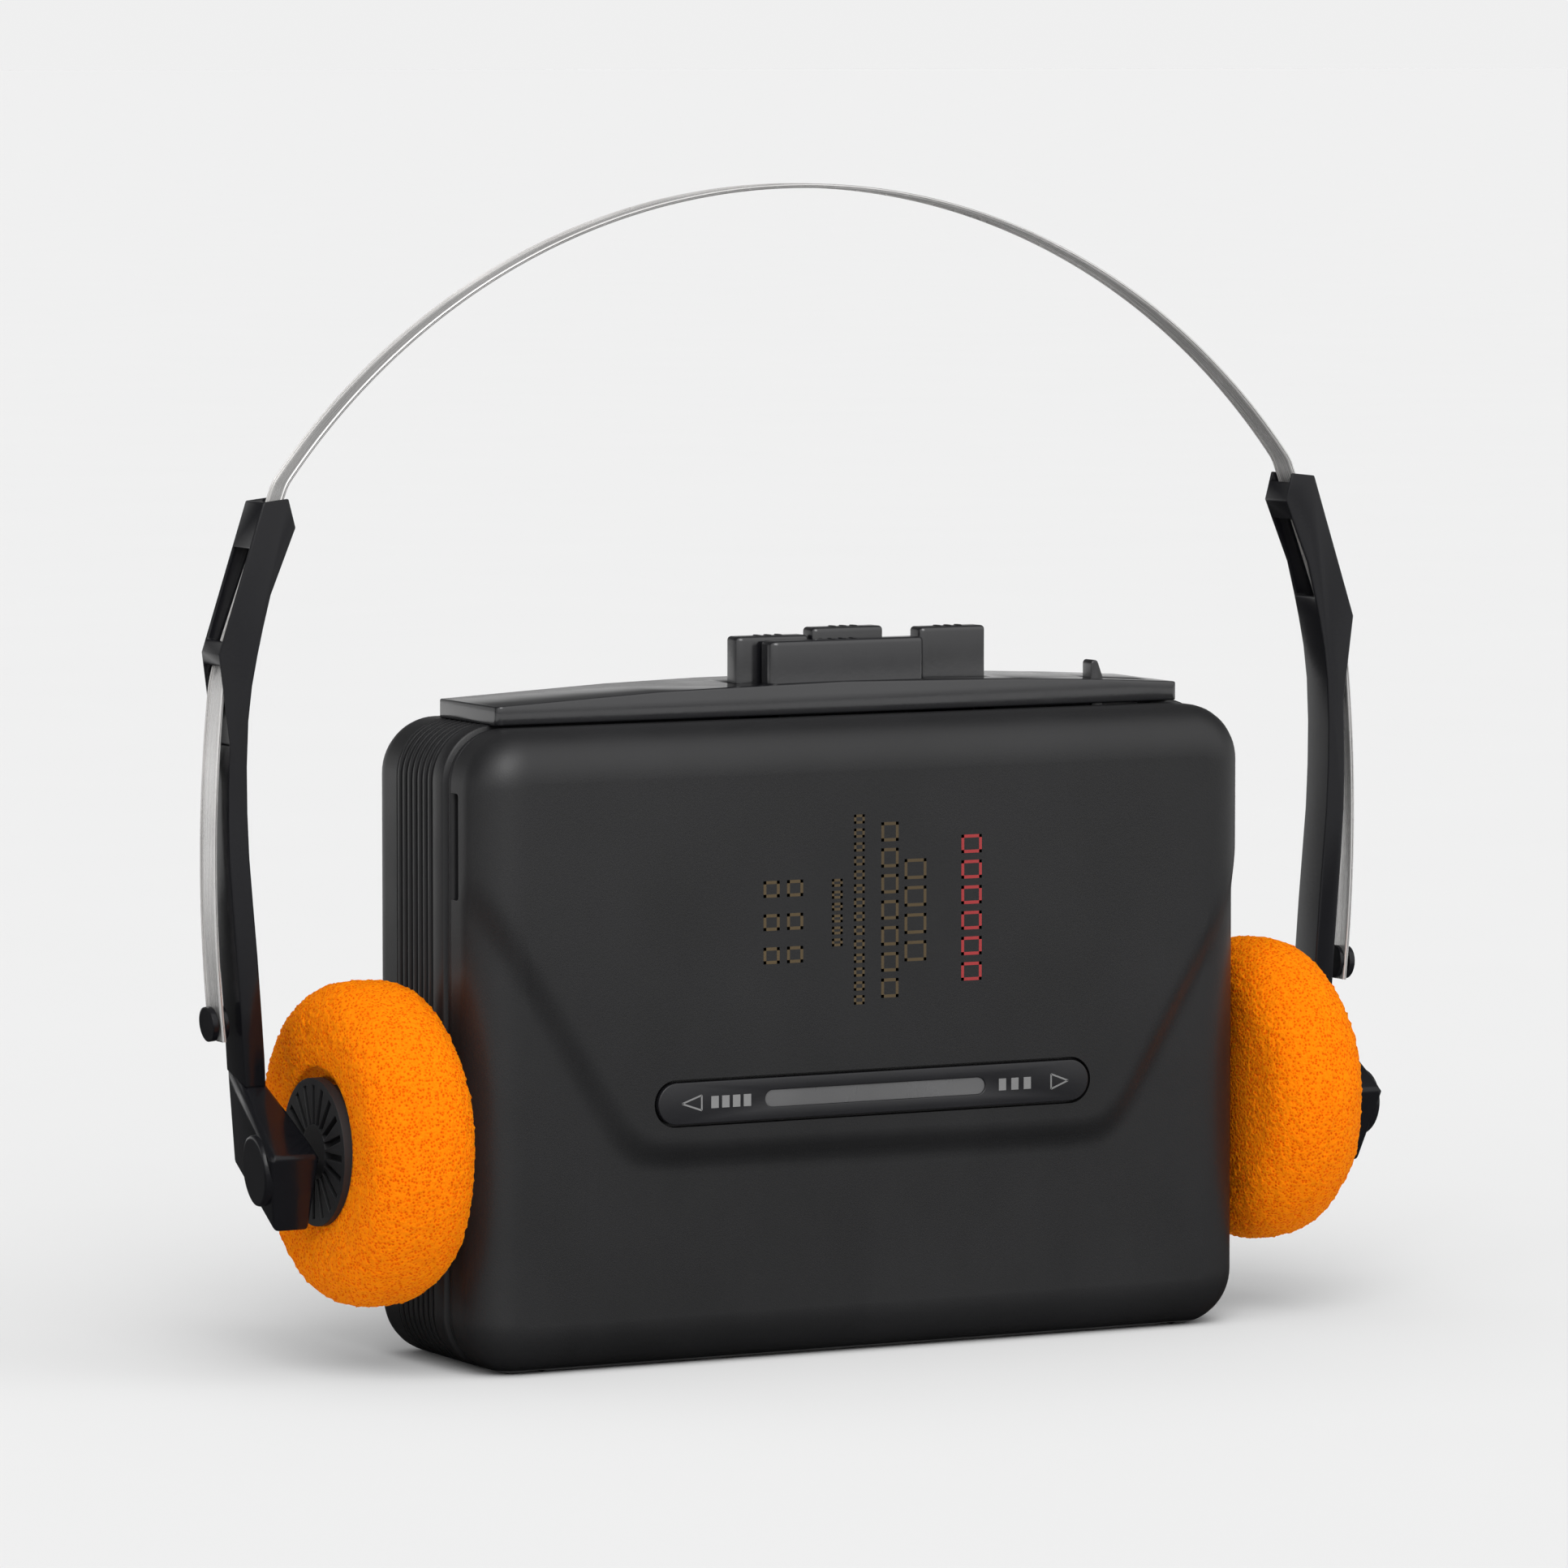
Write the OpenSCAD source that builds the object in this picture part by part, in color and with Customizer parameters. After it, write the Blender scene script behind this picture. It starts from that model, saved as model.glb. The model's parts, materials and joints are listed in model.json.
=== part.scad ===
// Pocket cassette player with its steel-band headset standing astride it.
// X runs along the long side, Y from the door (negative) to the back, Z up.
// The origin is the centre of the flat bottom face that the player stands on.

/* [Player body] */
// Length of the body along X
body_w = 116; // [112:1:122]
// Height of the body along Z
body_h = 85; // [84:0.5:88]
// Radius of the four body corners seen from the front
corner_r = 7.5; // [6.5:0.5:12]
// Y of the back face
back_y = 16.7; // [16.2:0.1:18]
// Y of the door's lower front face
front_y = -16.3; // [-17:0.1:-16]
// Y where the rear shell meets the ribbed frame
rear_seam_y = 8.2; // [8:0.1:8.6]
// Y where the frame ends and the door begins
door_seam_y = -7.6; // [-7.8:0.1:-7.4]
// Rounding of the door's front edges
door_fillet = 5.5; // [4:0.5:6]
// Rounding of the rear shell's edges
rear_fillet = 5; // [4:0.5:6]
// Wall thickness of the plastic shells
wall = 1.8; // [1.6:0.1:2]

/* [Ribs] */
// Number of ribs that run round the frame
rib_count = 7; // [5:1:7]
// Distance from one rib to the next
rib_pitch = 1.55; // [1.4:0.05:1.55]
// Depth of the grooves between the ribs
groove_depth = 0.6; // [0.3:0.1:0.8]

/* [Door] */
// How far the raised flap stands proud of the door
flap_raise = 1; // [0.5:0.1:1.2]
// Half length of the badge
badge_half = 32.5; // [30:0.5:34]
// Half height of the badge
badge_r = 2.9; // [2.5:0.1:3.2]
// Height of the badge's centre line
badge_z = 35.1; // [34:0.1:36]
// Height of the door's hinge axis
hinge_z = 4.3; // [4.2:0.1:4.4]
// Y of the door's hinge axis
hinge_y = -12.2; // [-12.4:0.1:-12]

/* [Top panel and keys] */
// Half length of the top panel
panel_half = 51.3; // [50:0.1:52]
// Y of the panel's front face
panel_front_y = -8.5; // [-8.6:0.1:-8.4]
// Y of the panel's back face
panel_back_y = 9.1; // [8.8:0.1:9.4]
// Height of the panel above the body at its ends
panel_end_h = 2.5; // [2.3:0.1:2.7]
// Height of the panel above the body in the middle
panel_mid_h = 4.2; // [4:0.1:4.4]
// How far each key travels down
key_travel = 2.5; // [2:0.1:2.5]

/* [Tape transport] */
// Distance of each reel spindle from the middle
reel_x = 21.25; // [21.2:0.05:21.3]
// Height of the reel spindles
reel_z = 35.1; // [35:0.1:35.2]
// Distance of each capstan from the middle
capstan_x = 27; // [26.5:0.5:27.5]
// Height of the capstans
capstan_z = 63.4; // [63.2:0.1:63.6]
// Radius of the flywheels under the belt
flywheel_r = 11; // [10.5:0.1:11]
// Radius of the pinch rollers
roller_r = 3.6; // [3.4:0.1:3.6]

/* [Headset] */
// Radius of the band's arch
band_r = 94.3; // [93:0.1:96]
// Height of the top of the band
band_top = 154.9; // [153:0.1:157]
// Thickness of the band
band_t = 0.6; // [0.5:0.1:0.8]
// Width of the band
band_w = 4.6; // [4:0.1:4.6]
// Y of the band's and arms' middle plane
band_y = 5.6; // [5:0.1:6]
// Diameter of the foam pads
pad_d = 44; // [42:1:45]
// Thickness of the foam pads
pad_t = 14; // [13:0.5:14]
// Distance from the middle to the inner face of each pad
pad_inner_x = 60; // [59.8:0.1:61]

/* [Hidden] */
$fn = 48;

half_w = body_w / 2;
door_back_y = door_seam_y - 0.4;
door_half_w = half_w - 0.2;
door_top_z = body_h - 0.3;
bay_back_y = -1.9;
chassis_y = [-0.6, 0.4];
far = 200;

shell_black = [0.09, 0.09, 0.1];
gloss_black = [0.04, 0.04, 0.05];
steel = [0.72, 0.73, 0.75];
foam_orange = [1, 0.5, 0.02];

// ---------- shared shapes ----------

// A box given by its low and high corners
module block(low, high) {
    translate(low) cube(high - low);
}

// A round bar along Y at [x, z]
module bar_y(x, z, r, y_low, y_high) {
    translate([x, y_high, z]) rotate([90, 0, 0]) cylinder(r = r, h = y_high - y_low);
}

// A round bar along X at [y, z]
module bar_x(y, z, r, x_low, x_high) {
    translate([x_low, y, z]) rotate([0, 90, 0]) cylinder(r = r, h = x_high - x_low);
}

// An outline in X and Z made solid between two Y planes
module plate_y(y_low, y_high) {
    translate([0, y_high, 0]) rotate([90, 0, 0]) linear_extrude(y_high - y_low) children();
}

// A rectangle with round corners
module rounded_outline(half, low, high, r) {
    translate([-half, low + r]) square([2 * half, high - low - 2 * r]);
    translate([r - half, low]) square([2 * (half - r), high - low]);
    for (x = [r - half, half - r], z = [low + r, high - r]) translate([x, z]) circle(r);
}

// The body outline, drawn in by a margin, between two Y planes
module body_slab(inset, y_low, y_high) {
    plate_y(y_low, y_high)
        rounded_outline(half_w - inset, inset, body_h - inset, corner_r - inset);
}

// A round corner post whose end edge is filleted, its flat end at Y 0 and its length along -Y
module soft_post(r, fillet, length) {
    rotate([90, 0, 0]) rotate_extrude($fn = 32) {
        square([r, length - fillet]);
        square([r - fillet, length]);
        intersection() {
            translate([r - fillet, length - fillet]) circle(fillet, $fn = 32);
            square([r, length]);
        }
    }
}

// A shell blank: the body outline with a filleted face, from Y 0 towards -Y
module pillow(half, low, high, r, fillet, length) {
    hull() for (x = [r - half, half - r], z = [low + r, high - r])
        translate([x, 0, z]) soft_post(r, fillet, length);
}

// ---------- casing ----------

screw_spots = [[-50.5, 77.5], [50.5, 77.5], [-50.5, 25], [50.5, 25]];
battery_low = [-51.6, 0.2, 5.6];
battery_high = [51.6, back_y - wall, 20.2];

module rear_blank(inset) {
    translate([0, rear_seam_y, 0]) mirror([0, 1, 0])
        pillow(half_w - inset, inset, body_h - inset, corner_r - inset,
               rear_fillet - inset / 2, back_y - rear_seam_y - inset);
}

module rear_shell() {
    color(shell_black) difference() {
        rear_blank(0);
        translate([0, -0.01, 0]) rear_blank(wall);
        block([battery_low.x, 12, battery_low.z], [battery_high.x, far, battery_high.z]);
        for (s = screw_spots) {
            bar_y(s.x, s.y, 1.1, 12, far);
            bar_y(s.x, s.y, 2.2, back_y - 0.8, far);
        }
        block([51, 9.9, 50], [far, 13.1, 70]);
    }
}

key_slot_low = [-14.4, -6.9];
key_slot_high = [24.5, -0.2];

// Ear that carries one door hinge pin
module hinge_ear(side) {
    x_low = side > 0 ? 46.8 : -48.6;
    difference() {
        union() {
            bar_x(hinge_y, hinge_z, 1.6, x_low, x_low + 1.8);
            block([x_low, hinge_y, hinge_z - 1.6], [x_low + 1.8, door_seam_y + 1.5, hinge_z + 1.6]);
            block([x_low, door_seam_y + 0.8, 1], [x_low + 1.8, door_seam_y + 4, hinge_z + 1.6]);
        }
        bar_x(hinge_y, hinge_z, 0.86, x_low - 1, x_low + 3);
    }
}

module ribbed_frame() {
    last_rib_y = rear_seam_y - rib_count * rib_pitch;
    color(shell_black) {
        difference() {
            union() {
                body_slab(groove_depth, door_seam_y, rear_seam_y);
                for (i = [0 : rib_count - 1])
                    body_slab(0, rear_seam_y - 0.85 - i * rib_pitch, rear_seam_y - i * rib_pitch);
                body_slab(0, door_seam_y + 1.8, last_rib_y);
            }
            body_slab(2.2, door_seam_y - 1, rear_seam_y + 1);
            block([key_slot_low.x, key_slot_low.y, 80], [key_slot_high.x, key_slot_high.y, far]);
            block([39, -5.9, 80], [48.4, -2.6, far]);
            intersection() {
                bar_x(hinge_y, hinge_z, 6.25, -half_w, half_w);
                block([-half_w, -10, -1], [half_w, 0, hinge_z]);
            }
            intersection() {
                bar_x(hinge_y, hinge_z, 5.35, -half_w, half_w);
                block([-half_w, -10, hinge_z - 1], [half_w, 0, hinge_z + 1.5]);
            }
            bar_x(4, jack_z, 3.05, half_w - 4, half_w + 1);
        }
        for (s = screw_spots) difference() {
            union() {
                bar_y(s.x, s.y, 2.2, 3, 13.4);
                block([s.x - 1, 3, s.y - 1], [s.x + 1, 7.8, s.y > 50 ? 83.2 : s.y + 1]);
                if (s.y < 50) translate([sign(s.x) * 53.2, 5.4, s.y]) cube([5.8, 4.8, 2], center = true);
            }
            bar_y(s.x, s.y, 0.9, 4, back_y);
        }
        for (s = [-1, 1]) difference() {
            translate([s * 53.2, 1.3, 40]) cube([5.6, 1.8, 28], center = true);
            for (z = [30, 50]) bar_y(s * 53, z, 0.8, 0, 3);
        }
        for (s = [-1, 1]) hinge_ear(s);
    }
}

module battery_tray() {
    color(shell_black) {
        intersection() {
            block([-53.4, -1, 2.3], [53.4, 0.1, 21.8]);
            body_slab(2.3, -2, 1);
        }
        block([-52, 0.1, 20.8], [52, back_y - wall - 0.1, 21.8]);
        for (s = [-1, 1]) translate([s * 53, 6.5, 13.7]) cube([0.8, 12.9, 14.3], center = true);
        for (s = [-1, 1]) translate([s * 52.6, 4, 21.3]) cube([1.6, 7.8, 1], center = true);
    }
}

// Contact plate with a conical spring at one end and a button at the other
module battery_contacts() {
    color(steel) for (s = [-1, 1]) {
        translate([s * 52.35, 7.4, 12.5]) cube([0.5, 10, 10], center = true);
        for (i = [0 : 2]) translate([s * (51.9 - i * 0.3), 7.4, 12.5]) rotate([0, 90, 0])
            cylinder(r = 4.2 - i * 1.1, h = 0.4, center = true);
    }
}

module battery_cover() {
    gap = 0.3;
    color(shell_black) {
        block([battery_low.x + gap, back_y - 1.6, battery_low.z + gap],
              [battery_high.x - gap, back_y - 0.1, battery_high.z - gap]);
        for (i = [-3 : 3]) block([i * 1.6 - 0.4, back_y - 0.1, 8.5], [i * 1.6 + 0.4, back_y, 17.3]);
        for (s = [-1, 1]) translate([s * 35, back_y - 2.1, 18.4]) cube([9, 1, 1.6], center = true);
    }
}

module case_screws() {
    color(steel) for (s = screw_spots) difference() {
        union() {
            bar_y(s.x, s.y, 1.9, back_y - 0.75, back_y - 0.15);
            bar_y(s.x, s.y, 0.9, 6, back_y - 0.75);
        }
        for (a = [0, 90]) translate([s.x, back_y, s.y]) rotate([0, a, 0])
            cube([2.4, 0.7, 0.5], center = true);
    }
}

// ---------- top panel, keys and controls ----------

panel_arc_r = (pow(panel_half, 2) + pow(panel_mid_h - panel_end_h, 2))
    / (2 * (panel_mid_h - panel_end_h));
key_bottom_z = body_h + 2.6;
stem_bottom_z = body_h - 2.1;

module top_panel() {
    round_r = 1;
    color(gloss_black) difference() {
        intersection() {
            block([-panel_half, panel_front_y, body_h - 2], [panel_half, panel_back_y, body_h + 8]);
            bar_y(0, body_h + panel_mid_h - panel_arc_r, panel_arc_r, -far, far, $fn = 720);
        }
        plate_y(-far, far) rounded_outline(half_w, 0, body_h, corner_r);
        for (s = [-1, 1]) translate([s * panel_half, panel_front_y, 0]) difference() {
            cube([2 * round_r, 2 * round_r, far], center = true);
            translate([-s * round_r, round_r, 0]) cylinder(r = round_r, h = far, center = true);
        }
        block([-10.8, -7.85, body_h - 3], [12.7, -4.2, far]);
        block([-14.1, -4.3, body_h - 3], [24.2, -0.6, far]);
        block([39.1, -5.8, body_h - 3], [48.2, -2.7, far]);
    }
}

// A key: a cap with round top edges, grip bars on it and a stem below
module key(x_low, x_high, y_low, y_high, top) {
    round_r = 0.8;
    stem_inset = 1.6;
    mid_y = (y_low + y_high) / 2;
    color(gloss_black) {
        intersection() {
            plate_y(y_low, y_high) {
                translate([x_low, key_bottom_z]) square([x_high - x_low, top - round_r - key_bottom_z]);
                translate([x_low + round_r, top - 2]) square([x_high - x_low - 2 * round_r, 2]);
                for (x = [x_low + round_r, x_high - round_r]) translate([x, top - round_r]) circle(round_r);
            }
            translate([x_low, 0, 0]) rotate([90, 0, 90]) linear_extrude(x_high - x_low) {
                translate([y_low, key_bottom_z]) square([y_high - y_low, top - round_r - key_bottom_z]);
                translate([y_low + round_r, top - 2]) square([y_high - y_low - 2 * round_r, 2]);
                for (y = [y_low + round_r, y_high - round_r]) translate([y, top - round_r]) circle(round_r);
            }
        }
        block([x_low + stem_inset, max(y_low + 0.5, -6.6), stem_bottom_z],
              [x_high - stem_inset, y_high - 0.7, key_bottom_z]);
        for (i = [-1 : 1]) translate([(x_low + x_high) / 2 + i * 1.6, mid_y, top - 0.05])
            cube([0.5, 1.6, 0.4], center = true);
    }
}

module play_key() { key(-10.5, 12.4, -7.6, -4.5, 94.6); }
module rewind_key() { key(-13.8, -3, -4, -0.9, 95.1); }
module stop_key() { key(-2.4, 8.3, -4, -0.9, 96); }
module forward_key() { key(13.9, 23.9, -4, -0.9, 95.6); }

module mode_lever() {
    color(gloss_black) {
        plate_y(-5.5, -3) {
            polygon([[39.5, 82.3], [41.4, 82.3], [41.4, 88], [40.58, 90.2], [39.5, 90.05]]);
            translate([40.05, 90.05]) circle(0.55, $fn = 32);
        }
        block([37.6, -6.6, 81.2], [43.4, -1.9, 82.3]);
    }
}

wheel_x = 50.2;
wheel_z = 60;
jack_z = 72;

module volume_wheel() {
    notch_count = 36;
    color(gloss_black) difference() {
        union() {
            bar_y(wheel_x, wheel_z, 8.8, 10.3, 12.7);
            for (i = [0 : notch_count - 1]) translate([wheel_x, 11.5, wheel_z])
                rotate([0, i * 360 / notch_count, 0]) translate([8.8, 0, 0])
                    cube([0.5, 2.4, 0.7], center = true);
        }
        bar_y(wheel_x, wheel_z, 1.05, 0, 20);
    }
}

module headphone_jack() {
    color(gloss_black) difference() {
        union() {
            bar_x(4, jack_z, 3, half_w - 4.5, half_w);
            block([44.5, 1, jack_z - 2.6], [half_w - 2.4, 7, jack_z + 2.6]);
        }
        bar_x(4, jack_z, 1.8, 45.5, half_w + 1);
    }
}

// ---------- tape mechanism ----------

guide_x = 47.5;
guide_z = 65.4;
motor_x = 44.2;
motor_z = 36;

module chassis_plate() {
    color(steel) difference() {
        union() {
            block([-55.2, chassis_y[0], 22.2], [55.2, chassis_y[1], 79]);
            for (s = [-1, 1]) bar_y(s * 16, 74, 1.5, -2.1, chassis_y[0]);
        }
        for (s = [-1, 1]) {
            bar_y(s * reel_x, reel_z, 4.7, -2, 2);
            bar_y(s * capstan_x, capstan_z, 2.4, -2, 2);
            for (z = [30, 50]) bar_y(s * 53, z, 0.9, -2, 2);
            block([s > 0 ? 49.8 : -56, -2, 74.5], [s > 0 ? 56 : -49.8, 2, 80]);
        }
    }
}

module chassis_screws() {
    color(steel) for (s = [-1, 1], z = [30, 50]) {
        bar_y(s * 53, z, 1.5, chassis_y[0] - 0.6, chassis_y[0]);
        bar_y(s * 53, z, 0.8, chassis_y[0], 2.1);
    }
}

module rear_plate() {
    color(steel) difference() {
        block([-46, 6.2, 25.5], [34, 7.2, 78.5]);
        for (s = [-1, 1]) bar_y(s * reel_x, reel_z, 0.9, 0, 10);
    }
}

standoff_spots = [[-43, 48], [0, 76], [0, 28], [31, 48.6]];

module standoffs() {
    color(steel) for (s = standoff_spots) {
        bar_y(s.x, s.y, 1.6, chassis_y[1], 6.2);
        bar_y(s.x, s.y, 1.6, 7.2, 8.6);
    }
}

module capstan_bushes() {
    color([0.8, 0.65, 0.3]) for (s = [-1, 1]) difference() {
        bar_y(s * capstan_x, capstan_z, 2.4, chassis_y[0], 1.9);
        bar_y(s * capstan_x, capstan_z, 1.05, -3, 3);
    }
}

module reel_posts() {
    color(steel) for (s = [-1, 1]) bar_y(s * reel_x, reel_z, 0.9, -11.4, 7.2);
}

// Outline of a toothed wheel
function gear_points(teeth, r, depth) =
    [for (i = [0 : 4 * teeth - 1])
        let (a = i * 90 / teeth, rr = (i % 4 < 2) ? r : r - depth) [rr * cos(a), rr * sin(a)]];

// A reel spindle: hub with three driving splines in front of its toothed disc
module reel(side) {
    x = side * reel_x;
    color([0.85, 0.85, 0.82]) difference() {
        union() {
            bar_y(x, reel_z, 2.9, -11.2, 2);
            for (a = [0, 120, 240]) translate([x, -6.2, reel_z]) rotate([0, a, 0])
                translate([2, 0, 0]) cube([4, 6.4, 1], center = true);
            translate([x, 2, reel_z]) rotate([90, 0, 0])
                linear_extrude(1.4) polygon(gear_points(40, 10, 0.8));
        }
        bar_y(x, reel_z, 0.95, -12, 3);
    }
}

module left_reel() { reel(-1); }
module right_reel() { reel(1); }

module flywheel(side) {
    x = side * capstan_x;
    color(steel) difference() {
        bar_y(x, capstan_z, flywheel_r + 0.8, 2.4, 5.4);
        difference() {
            bar_y(x, capstan_z, flywheel_r + 2, 3.2, 4.6);
            bar_y(x, capstan_z, flywheel_r, 3, 5);
        }
        bar_y(x, capstan_z, 1, 0, 8);
    }
}

module left_flywheel() { flywheel(-1); }
module right_flywheel() { flywheel(1); }

module capstan(side) {
    color([0.88, 0.88, 0.9]) bar_y(side * capstan_x, capstan_z, 1, -12.2, 5.9);
}

module left_capstan() { capstan(-1); }
module right_capstan() { capstan(1); }

module motor() {
    color(steel) difference() {
        union() {
            bar_y(motor_x, motor_z, 9.4, 5.4, 14.2);
            bar_y(motor_x, motor_z, 2.6, 4.9, 5.4);
        }
        bar_y(motor_x, motor_z, 1.06, 4, 9.3);
    }
}

pulley_r = 2.4;
guide_r = 2.4;

module motor_pulley() {
    color([0.8, 0.65, 0.3]) {
        bar_y(motor_x, motor_z, pulley_r, 2.8, 4.7);
        bar_y(motor_x, motor_z, pulley_r + 0.8, 2.3, 2.8);
        bar_y(motor_x, motor_z, 1, 4.7, 9);
    }
}

module belt_guide() {
    color(steel) {
        bar_y(guide_x, guide_z, guide_r, chassis_y[1], 4.9);
        bar_y(guide_x, guide_z, guide_r + 0.8, 4.9, 5.4);
    }
}

// The belt's middle line runs round four wheels; the right flywheel turns it the other way
belt_gap = 0.1;
belt_t = 1;
belt_wheels = [
    [-capstan_x, capstan_z, flywheel_r, 1],
    [motor_x, motor_z, pulley_r, 1],
    [guide_x, guide_z, guide_r, 1],
    [capstan_x, capstan_z, flywheel_r, -1]
];

// Direction in degrees of the belt's run from one wheel to the next
function run_angle(a, b, grow_a, grow_b) =
    let (dx = b[0] - a[0], dz = b[1] - a[1], far_apart = norm([dx, dz]))
    atan2(dz, dx) - asin((b[3] * (b[2] + grow_b) - a[3] * (a[2] + grow_a)) / far_apart);

// Points of a closed loop round the wheels, grown away from each wheel's face by `out`
function belt_side(out) = [
    for (i = [0 : 3])
        let (prev = belt_wheels[(i + 3) % 4], here = belt_wheels[i], next = belt_wheels[(i + 1) % 4],
             grow = [for (w = [prev, here, next]) belt_gap + (w[3] > 0 ? out : belt_t - out)],
             start = run_angle(prev, here, grow[0], grow[1]) - 90,
             finish = run_angle(here, next, grow[1], grow[2]) - 90,
             turn = here[3] > 0 ? (finish - start + 720) % 360 : -((start - finish + 720) % 360),
             steps = ceil(abs(turn) / 12),
             r = here[3] * (here[2] + grow[1]))
        for (k = [0 : steps])
            let (a = start + turn * k / steps) [here[0] + r * cos(a), here[1] + r * sin(a)]
];

module drive_belt() {
    color([0.1, 0.1, 0.1]) plate_y(3.4, 4.4) difference() {
        polygon(belt_side(belt_t));
        polygon(belt_side(0));
    }
}

module circuit_board() {
    color([0.15, 0.4, 0.2]) {
        block([-47.5, 8.6, 24], [33.5, 9.8, 46]);
        difference() {
            block([-49, 8.6, 46], [53, 9.8, 73]);
            bar_y(wheel_x, wheel_z, 1, 8, 11);
        }
        block([-47, 8.6, 73], [47, 9.8, 81]);
    }
}

module board_parts() {
    color([0.16, 0.16, 0.18]) {
        for (x = [-32, -8, 16]) block([x, 9.8, 50], [x + 12, 11.6, 56]);
        for (x = [-40 : 10 : 20]) bar_y(x, 66, 2.5, 9.8, 13.6);
        for (x = [-38 : 6 : 22]) block([x, 9.8, 36], [x + 3.2, 10.8, 37.6]);
        bar_y(wheel_x, wheel_z, 1, 8.6, 13.6);
    }
}

module head_plate() {
    color(steel) difference() {
        block([-34, -1.75, 70.6], [34, -0.85, 79.4]);
        for (s = [-1, 1]) bar_y(s * 16, 74, 1.6, -3, 0);
        for (s = [-1, 1]) translate([s * 16, -1.3, 78]) cube([3.2, 2, 8], center = true);
        for (s = [-1, 1]) bar_y(s * capstan_x, capstan_z + 10.4, 0.8, -3, 0);
    }
}

module tape_head() {
    color([0.6, 0.6, 0.62]) intersection() {
        block([-6, -11.2, 71.4], [6, -1.75, 79.2]);
        bar_y(0, 79.4, 8, -12, 0);
    }
}

module roller_pins() {
    color(steel) for (s = [-1, 1]) bar_y(s * capstan_x, capstan_z + 10.4, 0.8, -11, -0.85);
}

module roller(side) {
    color([0.12, 0.12, 0.12]) difference() {
        bar_y(side * capstan_x, capstan_z + 10.4, roller_r, -10.4, -3);
        bar_y(side * capstan_x, capstan_z + 10.4, 0.85, -12, 0);
    }
}

module left_roller() { roller(-1); }
module right_roller() { roller(1); }

// ---------- door ----------

flap_bottom_z = 29;
flap_bottom_half = 34.5;
flap_top_z = 60;
flap_top_half = 54;

module door_blank(inset, extra) {
    translate([0, door_back_y, 0])
        pillow(door_half_w - inset, inset, door_top_z - inset, corner_r - inset,
               door_fillet - inset / 2, door_back_y - front_y + extra - inset);
}

module flap_outline() {
    polygon([[-flap_bottom_half, flap_bottom_z], [flap_bottom_half, flap_bottom_z],
             [flap_top_half, flap_top_z], [flap_top_half, far], [-flap_top_half, far],
             [-flap_top_half, flap_top_z]]);
}

module badge_outline(grow) {
    r = badge_r + grow;
    translate([-badge_half + badge_r, badge_z - r]) square([2 * (badge_half - badge_r), 2 * r]);
    for (s = [-1, 1]) translate([s * (badge_half - badge_r), badge_z]) circle(r);
}

module window_outline(grow) {
    r = 1.15 + grow;
    translate([-15.4, badge_z - r]) square([30.8, 2 * r]);
    for (s = [-1, 1]) translate([s * 15.4, badge_z]) circle(r);
}

module door_shell() {
    color(shell_black) {
        difference() {
            union() {
                door_blank(0, 0);
                intersection() {
                    door_blank(0, flap_raise);
                    plate_y(-far, door_back_y) flap_outline();
                }
            }
            translate([0, 0.01, 0]) door_blank(wall, 0);
            plate_y(-far, -15.9) badge_outline(0);
            plate_y(-far, 0) window_outline(0);
            for (s = [-1, 1]) translate([s * half_w, door_back_y, 69.5])
                cube([3, 4, 14], center = true);
            for (s = [-1, 1]) translate([s * 47.7, hinge_y + 2.2, 0.8])
                cube([2.6, 5.2, 3.8], center = true);
            for (s = [-1, 1]) bar_x(hinge_y, hinge_z, 2, s * 47.7 - 1.3, s * 47.7 + 1.3);
        }
        for (s = [-1, 1]) translate([s * 37, -12.3, 5.4]) cube([12, 5, 0.9], center = true);
        for (s = [-1, 1]) difference() {
            union() {
                bar_x(hinge_y, hinge_z, 1.5, s > 0 ? 49 : -51, s > 0 ? 51 : -49);
                block([s > 0 ? 49 : -51, hinge_y - 1.5, 1.5], [s > 0 ? 51 : -49, hinge_y + 1.5, hinge_z]);
            }
            bar_x(hinge_y, hinge_z, 0.84, s > 0 ? 48 : -52, s > 0 ? 52 : -48);
        }
    }
}

module door_badge() {
    color(gloss_black) difference() {
        plate_y(-17.6, -15.9) badge_outline(-0.15);
        plate_y(-far, 0) window_outline(0);
    }
}

module door_window() {
    color([0.5, 0.5, 0.52, 0.6]) plate_y(-17.4, -14.8) window_outline(-0.02);
}

module cassette_guides() {
    color(shell_black) for (s = [-1, 1]) {
        block([s > 0 ? 50.5 : -51.3, front_y + wall, 12], [s > 0 ? 51.3 : -50.5, -2.6, 60]);
        block([s > 0 ? 47 : -51.3, -2.9, 12], [s > 0 ? 51.3 : -47, -2.2, 26]);
    }
}

module hinge_pins() {
    color(steel) for (s = [-1, 1]) bar_x(hinge_y, hinge_z, 0.8, s > 0 ? 46.9 : -51, s > 0 ? 51 : -46.9);
}

// ---------- headset ----------

arch_half_angle = 53;
head_tilt = 20;
mouth_bend_r = 6;
ridge_bend_r = 20;
head_run = 23;
bow_angle = 6;
bow_r = 217;

// Points on an arc of the band: start point, start and end tilt from the vertical, radius
function bend(from, tilt_a, tilt_b, r, steps) =
    [for (k = [1 : steps])
        let (t = tilt_a + (tilt_b - tilt_a) * k / steps)
        from + r * [cos(t) - cos(tilt_a), sin(t) - sin(tilt_a)]];

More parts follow.
